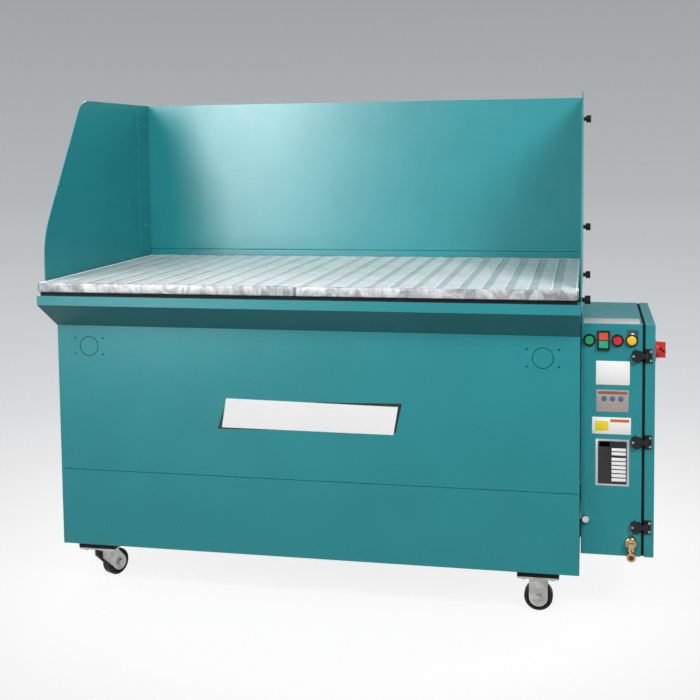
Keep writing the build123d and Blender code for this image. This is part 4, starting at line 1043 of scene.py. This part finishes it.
@dataclass
class Marks:
    """Dark rings that paint the shade in the front's knockout grooves, and a black sheet that paints the
    shade of the slot in the side of the disconnect's grip.
    """

    inset: float = 0.1
    drop: float = 0.061
    radius: float = 0.0284
    width: float = 0.002
    depth: float = 0.0006
    proud: float = 0.00005
    slot_length: float = 0.019
    slot_width: float = 0.005
    slot_thick: float = 0.0004
    slot_slant: float = 0.72
    slot_back: float = 0.0095
    grip_half: float = 0.0075

    def build(self, palette: Palette) -> None:
        """Models the rings of painted shade in the panel's grooves, and the slot's painted shade."""
        low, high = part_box("upper_front_panel")
        # Dark rings that paint the shade in the knockout grooves.
        rings = Form("knockout_shade_rings", palette, KNOCKOUT_SHADE)
        for across in (low.x + self.inset, high.x - self.inset):
            centre = Vector((across, low.y + self.depth, high.z - self.drop))
            rings.ring(centre, FORWARDS, self.radius, self.width, self.depth + self.proud, KNOCKOUT_SHADE)
        rings.done("cabinet", "teal_paint")
        low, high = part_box("disconnect_handle")
        middle = (low + high) / 2
        middle.x = high.x - self.slot_back
        middle.y -= self.grip_half
        half = Vector((self.slot_length / 2, self.slot_thick / 2, self.slot_width / 2))
        # A thin black sheet in the grip's slot paints the slot's shade.
        slot = Form("disconnect_slot_shade", palette, BLACK)
        verts = slot.brick(middle - half, middle + half, BLACK)
        turn = Matrix.Rotation(self.slot_slant, 3, "Y")
        bmesh.ops.rotate(slot.mesh, verts=verts, cent=middle, matrix=turn)
        slot.done("disconnect_handle", "black_plastic")


class Glow(Enum):
    """What a lamp does to the surfaces that it reaches."""

    LIGHT = "light"
    SHINE = "shine"
    BOTH = "both"


@dataclass(frozen=True)
class Lamp:
    """A soft box: where it hangs, what it faces, its width and height, and its power in watts."""

    name: str
    spot: Place
    aim: Place
    size: Pair
    power: float
    glow: Glow = Glow.BOTH

    def hang(self) -> None:
        """Adds the lamp to the scene."""
        data = bpy.data.lights.new(self.name, "AREA")
        data.shape = "RECTANGLE"
        data.size, data.size_y = self.size
        data.energy = self.power
        item = bpy.data.objects.new(self.name, data)
        item.location = self.spot
        item.rotation_euler = (Vector(self.aim) - Vector(self.spot)).to_track_quat("-Z", "Y").to_euler()
        item.visible_diffuse = self.glow is not Glow.SHINE
        item.visible_glossy = self.glow is not Glow.LIGHT
        bpy.context.collection.objects.link(item)


TABLE_MIDDLE = (0.0, 0.0, 0.75)
GUARD_MIDDLE = (-0.4, 0.44, 1.12)
LAMPS = (
    Lamp("strip_low", (-1.6, -3.2, 1.12), GUARD_MIDDLE, (0.8, 1.0), 38.0, Glow.SHINE),
    Lamp("strip_high", (-1.6, -3.2, 2.12), GUARD_MIDDLE, (0.8, 1.0), 88.0, Glow.SHINE),
    Lamp("key_left", (-2.2, -2.2, 3.0), TABLE_MIDDLE, (1.4, 1.4), 64.0),
    Lamp("key_right", (2.2, -2.6, 3.2), (0.3, 0.0, 0.75), (1.4, 1.4), 106.0),
    Lamp("front", (-0.3, -4.0, 2.6), TABLE_MIDDLE, (1.4, 1.2), 74.0, Glow.LIGHT),
    Lamp("behind", (-2.6, 2.8, 3.0), TABLE_MIDDLE, (1.8, 1.8), 110.0),
    Lamp("side", (3.4, 1.7, 1.6), (0.8, 0.0, 0.6), (1.4, 1.4), 70.0, Glow.LIGHT),
)


@dataclass
class Camera:
    """The camera of the photograph, turned by three angles in radians."""

    spot: Place = (0.6992, -3.4895, 1.3052)
    yaw: float = 0.208
    pitch: float = 0.076
    roll: float = -0.011
    lens: float = 58.46
    film: float = 36.0
    shift: float = -0.165

    def build(self) -> None:
        """Makes the camera and hands it to the scene."""
        ahead = Vector((-math.sin(self.yaw), math.cos(self.yaw), 0.0))
        right = Vector((math.cos(self.yaw), math.sin(self.yaw), 0.0))
        above = Vector((0.0, 0.0, 1.0))
        look = ahead * math.cos(self.pitch) - above * math.sin(self.pitch)
        level = above * math.cos(self.pitch) + ahead * math.sin(self.pitch)
        side = right * math.cos(self.roll) + level * math.sin(self.roll)
        head = level * math.cos(self.roll) - right * math.sin(self.roll)
        data = bpy.data.cameras.new("photo_camera")
        data.lens, data.sensor_width, data.shift_y = self.lens, self.film, self.shift
        item = bpy.data.objects.new("photo_camera", data)
        item.location = self.spot
        item.rotation_euler = Matrix((side, head, -look)).transposed().to_euler()
        bpy.context.collection.objects.link(item)
        bpy.context.scene.camera = item


@dataclass
class Studio:
    """A pale floor that runs out into a grey backdrop, with a soft fill.

    Each of the floor's rings has its distance from the middle, its grey level, and by how much its
    blue is over its red.
    """

    reach: float = 30.0
    edge_points: int = 96
    horizon: Colour = (179, 182, 185)
    zenith: Colour = (159, 163, 166)
    rise: Pair = (-0.03, 0.14)
    fill: float = 0.05
    fill_colour: Colour = (225, 228, 230)
    floor_white: Colour = (244, 244, 244)
    floor_matt: Colour = (45, 45, 46)
    glow_reach: float = 3.0
    glow_shares: Pair = (0.86, 1.0)
    rings: tuple[tuple[float, float, float], ...] = (
        (0.9, 253, 0),
        (1.3, 241, 0),
        (1.8, 231, 0),
        (2.5, 219, 5),
        (3.4, 212, 6),
        (4.8, 205, 6),
        (7.0, 198, 6),
        (11.0, 190, 6),
        (20.0, 184, 6),
    )

    @staticmethod
    def seen(graph: Graph) -> Signal:
        """1 for what the camera, a mirror or a see-through piece sees, and 0 for what lights the table."""
        direct = graph.add("ShaderNodeLightPath", output="Is Camera Ray")
        indirect = direct.beside("Is Glossy Ray") + direct.beside("Is Transmission Ray")
        return graph.maths("MINIMUM", direct + indirect, 1.0)

    def world(self) -> None:
        """A pale grey backdrop that darkens upwards, and a soft fill for the rest."""
        world = bpy.data.worlds.new("studio")
        bpy.context.scene.world = world
        world.use_nodes = True
        graph = Graph(world.node_tree)
        way = graph.add("ShaderNodeTexCoord", output="Generated")
        height = graph.levels(graph.add("ShaderNodeSeparateXYZ", inputs={0: way}, output="Z"), self.rise)
        stops = [(0.0, screen(*self.horizon)), (1.0, screen(*self.zenith))]
        colour = graph.add("ShaderNodeValToRGB", {"stops": stops}, {0: height})
        inputs = {"Color": screen(*self.fill_colour), "Strength": self.fill}
        fill = graph.add("ShaderNodeBackground", inputs=inputs)
        pale = graph.add("ShaderNodeBackground", inputs={"Color": colour, "Strength": 1.0})
        both = graph.add("ShaderNodeMixShader", inputs={0: self.seen(graph), 1: fill, 2: pale})
        graph.add("ShaderNodeOutputWorld", inputs={"Surface": both})

    def floor(self) -> None:
        """A wide pale floor that keeps the table's shadow and runs out into the backdrop."""
        mesh = bmesh.new()
        bmesh.ops.create_circle(mesh, cap_ends=True, segments=self.edge_points, radius=self.reach)
        data = bpy.data.meshes.new("studio_floor")
        mesh.to_mesh(data)
        mesh.free()
        item = bpy.data.objects.new("studio_floor", data)
        bpy.context.collection.objects.link(item)
        data.materials.append(self._floor_material())

    def _floor_material(self) -> bpy.types.Material:
        """A glow from the middle outwards with some white under it, and matt for what lights the table."""
        material = bpy.data.materials.new("studio_floor")
        material.use_nodes = True
        graph = Graph(material.node_tree)
        across, along = graph.plan()
        far = graph.maths("SQRT", across * across + along * along)
        stops = []
        for ring, grey, cool in self.rings:
            stops.append((ring / self.reach, screen(grey, grey + cool / 2, grey + cool)))
        stops.append((1.0, screen(*self.horizon)))
        share = graph.levels(far, (0.0, self.reach))
        colour = graph.add("ShaderNodeValToRGB", {"stops": stops}, {0: share})
        glow = graph.add("ShaderNodeEmission", inputs={"Color": colour, "Strength": 1.0})
        white = graph.add("ShaderNodeBsdfDiffuse", inputs={"Color": screen(*self.floor_white)})
        glowing = graph.levels(far, (0.0, self.glow_reach), self.glow_shares)
        near = graph.add("ShaderNodeMixShader", inputs={0: glowing, 1: white, 2: glow})
        matt = graph.add("ShaderNodeBsdfDiffuse", inputs={"Color": screen(*self.floor_matt)})
        mix = graph.add("ShaderNodeMixShader", inputs={0: self.seen(graph), 1: matt, 2: near})
        graph.add("ShaderNodeOutputMaterial", inputs={"Surface": mix})
        return material


def main() -> None:
    """Builds the scene from its classes."""
    logging.basicConfig(level=logging.INFO, format="%(name)s: %(message)s")
    Camera().build()
    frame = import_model()
    bpy.context.scene.view_settings.view_transform = "Standard"
    palette = Palette()
    palette.dress(frame["nodes"])
    Grate("grate_left", "grate_left_body").build(palette)
    Grate("grate_right", "grate_right_body").build(palette)
    for pieces in (Sign(), LabelPlates(), Screws(), Marks()):
        pieces.build(palette)
    studio = Studio()
    studio.world()
    studio.floor()
    for lamp in LAMPS:
        lamp.hang()


if __name__ == "__main__":
    main()
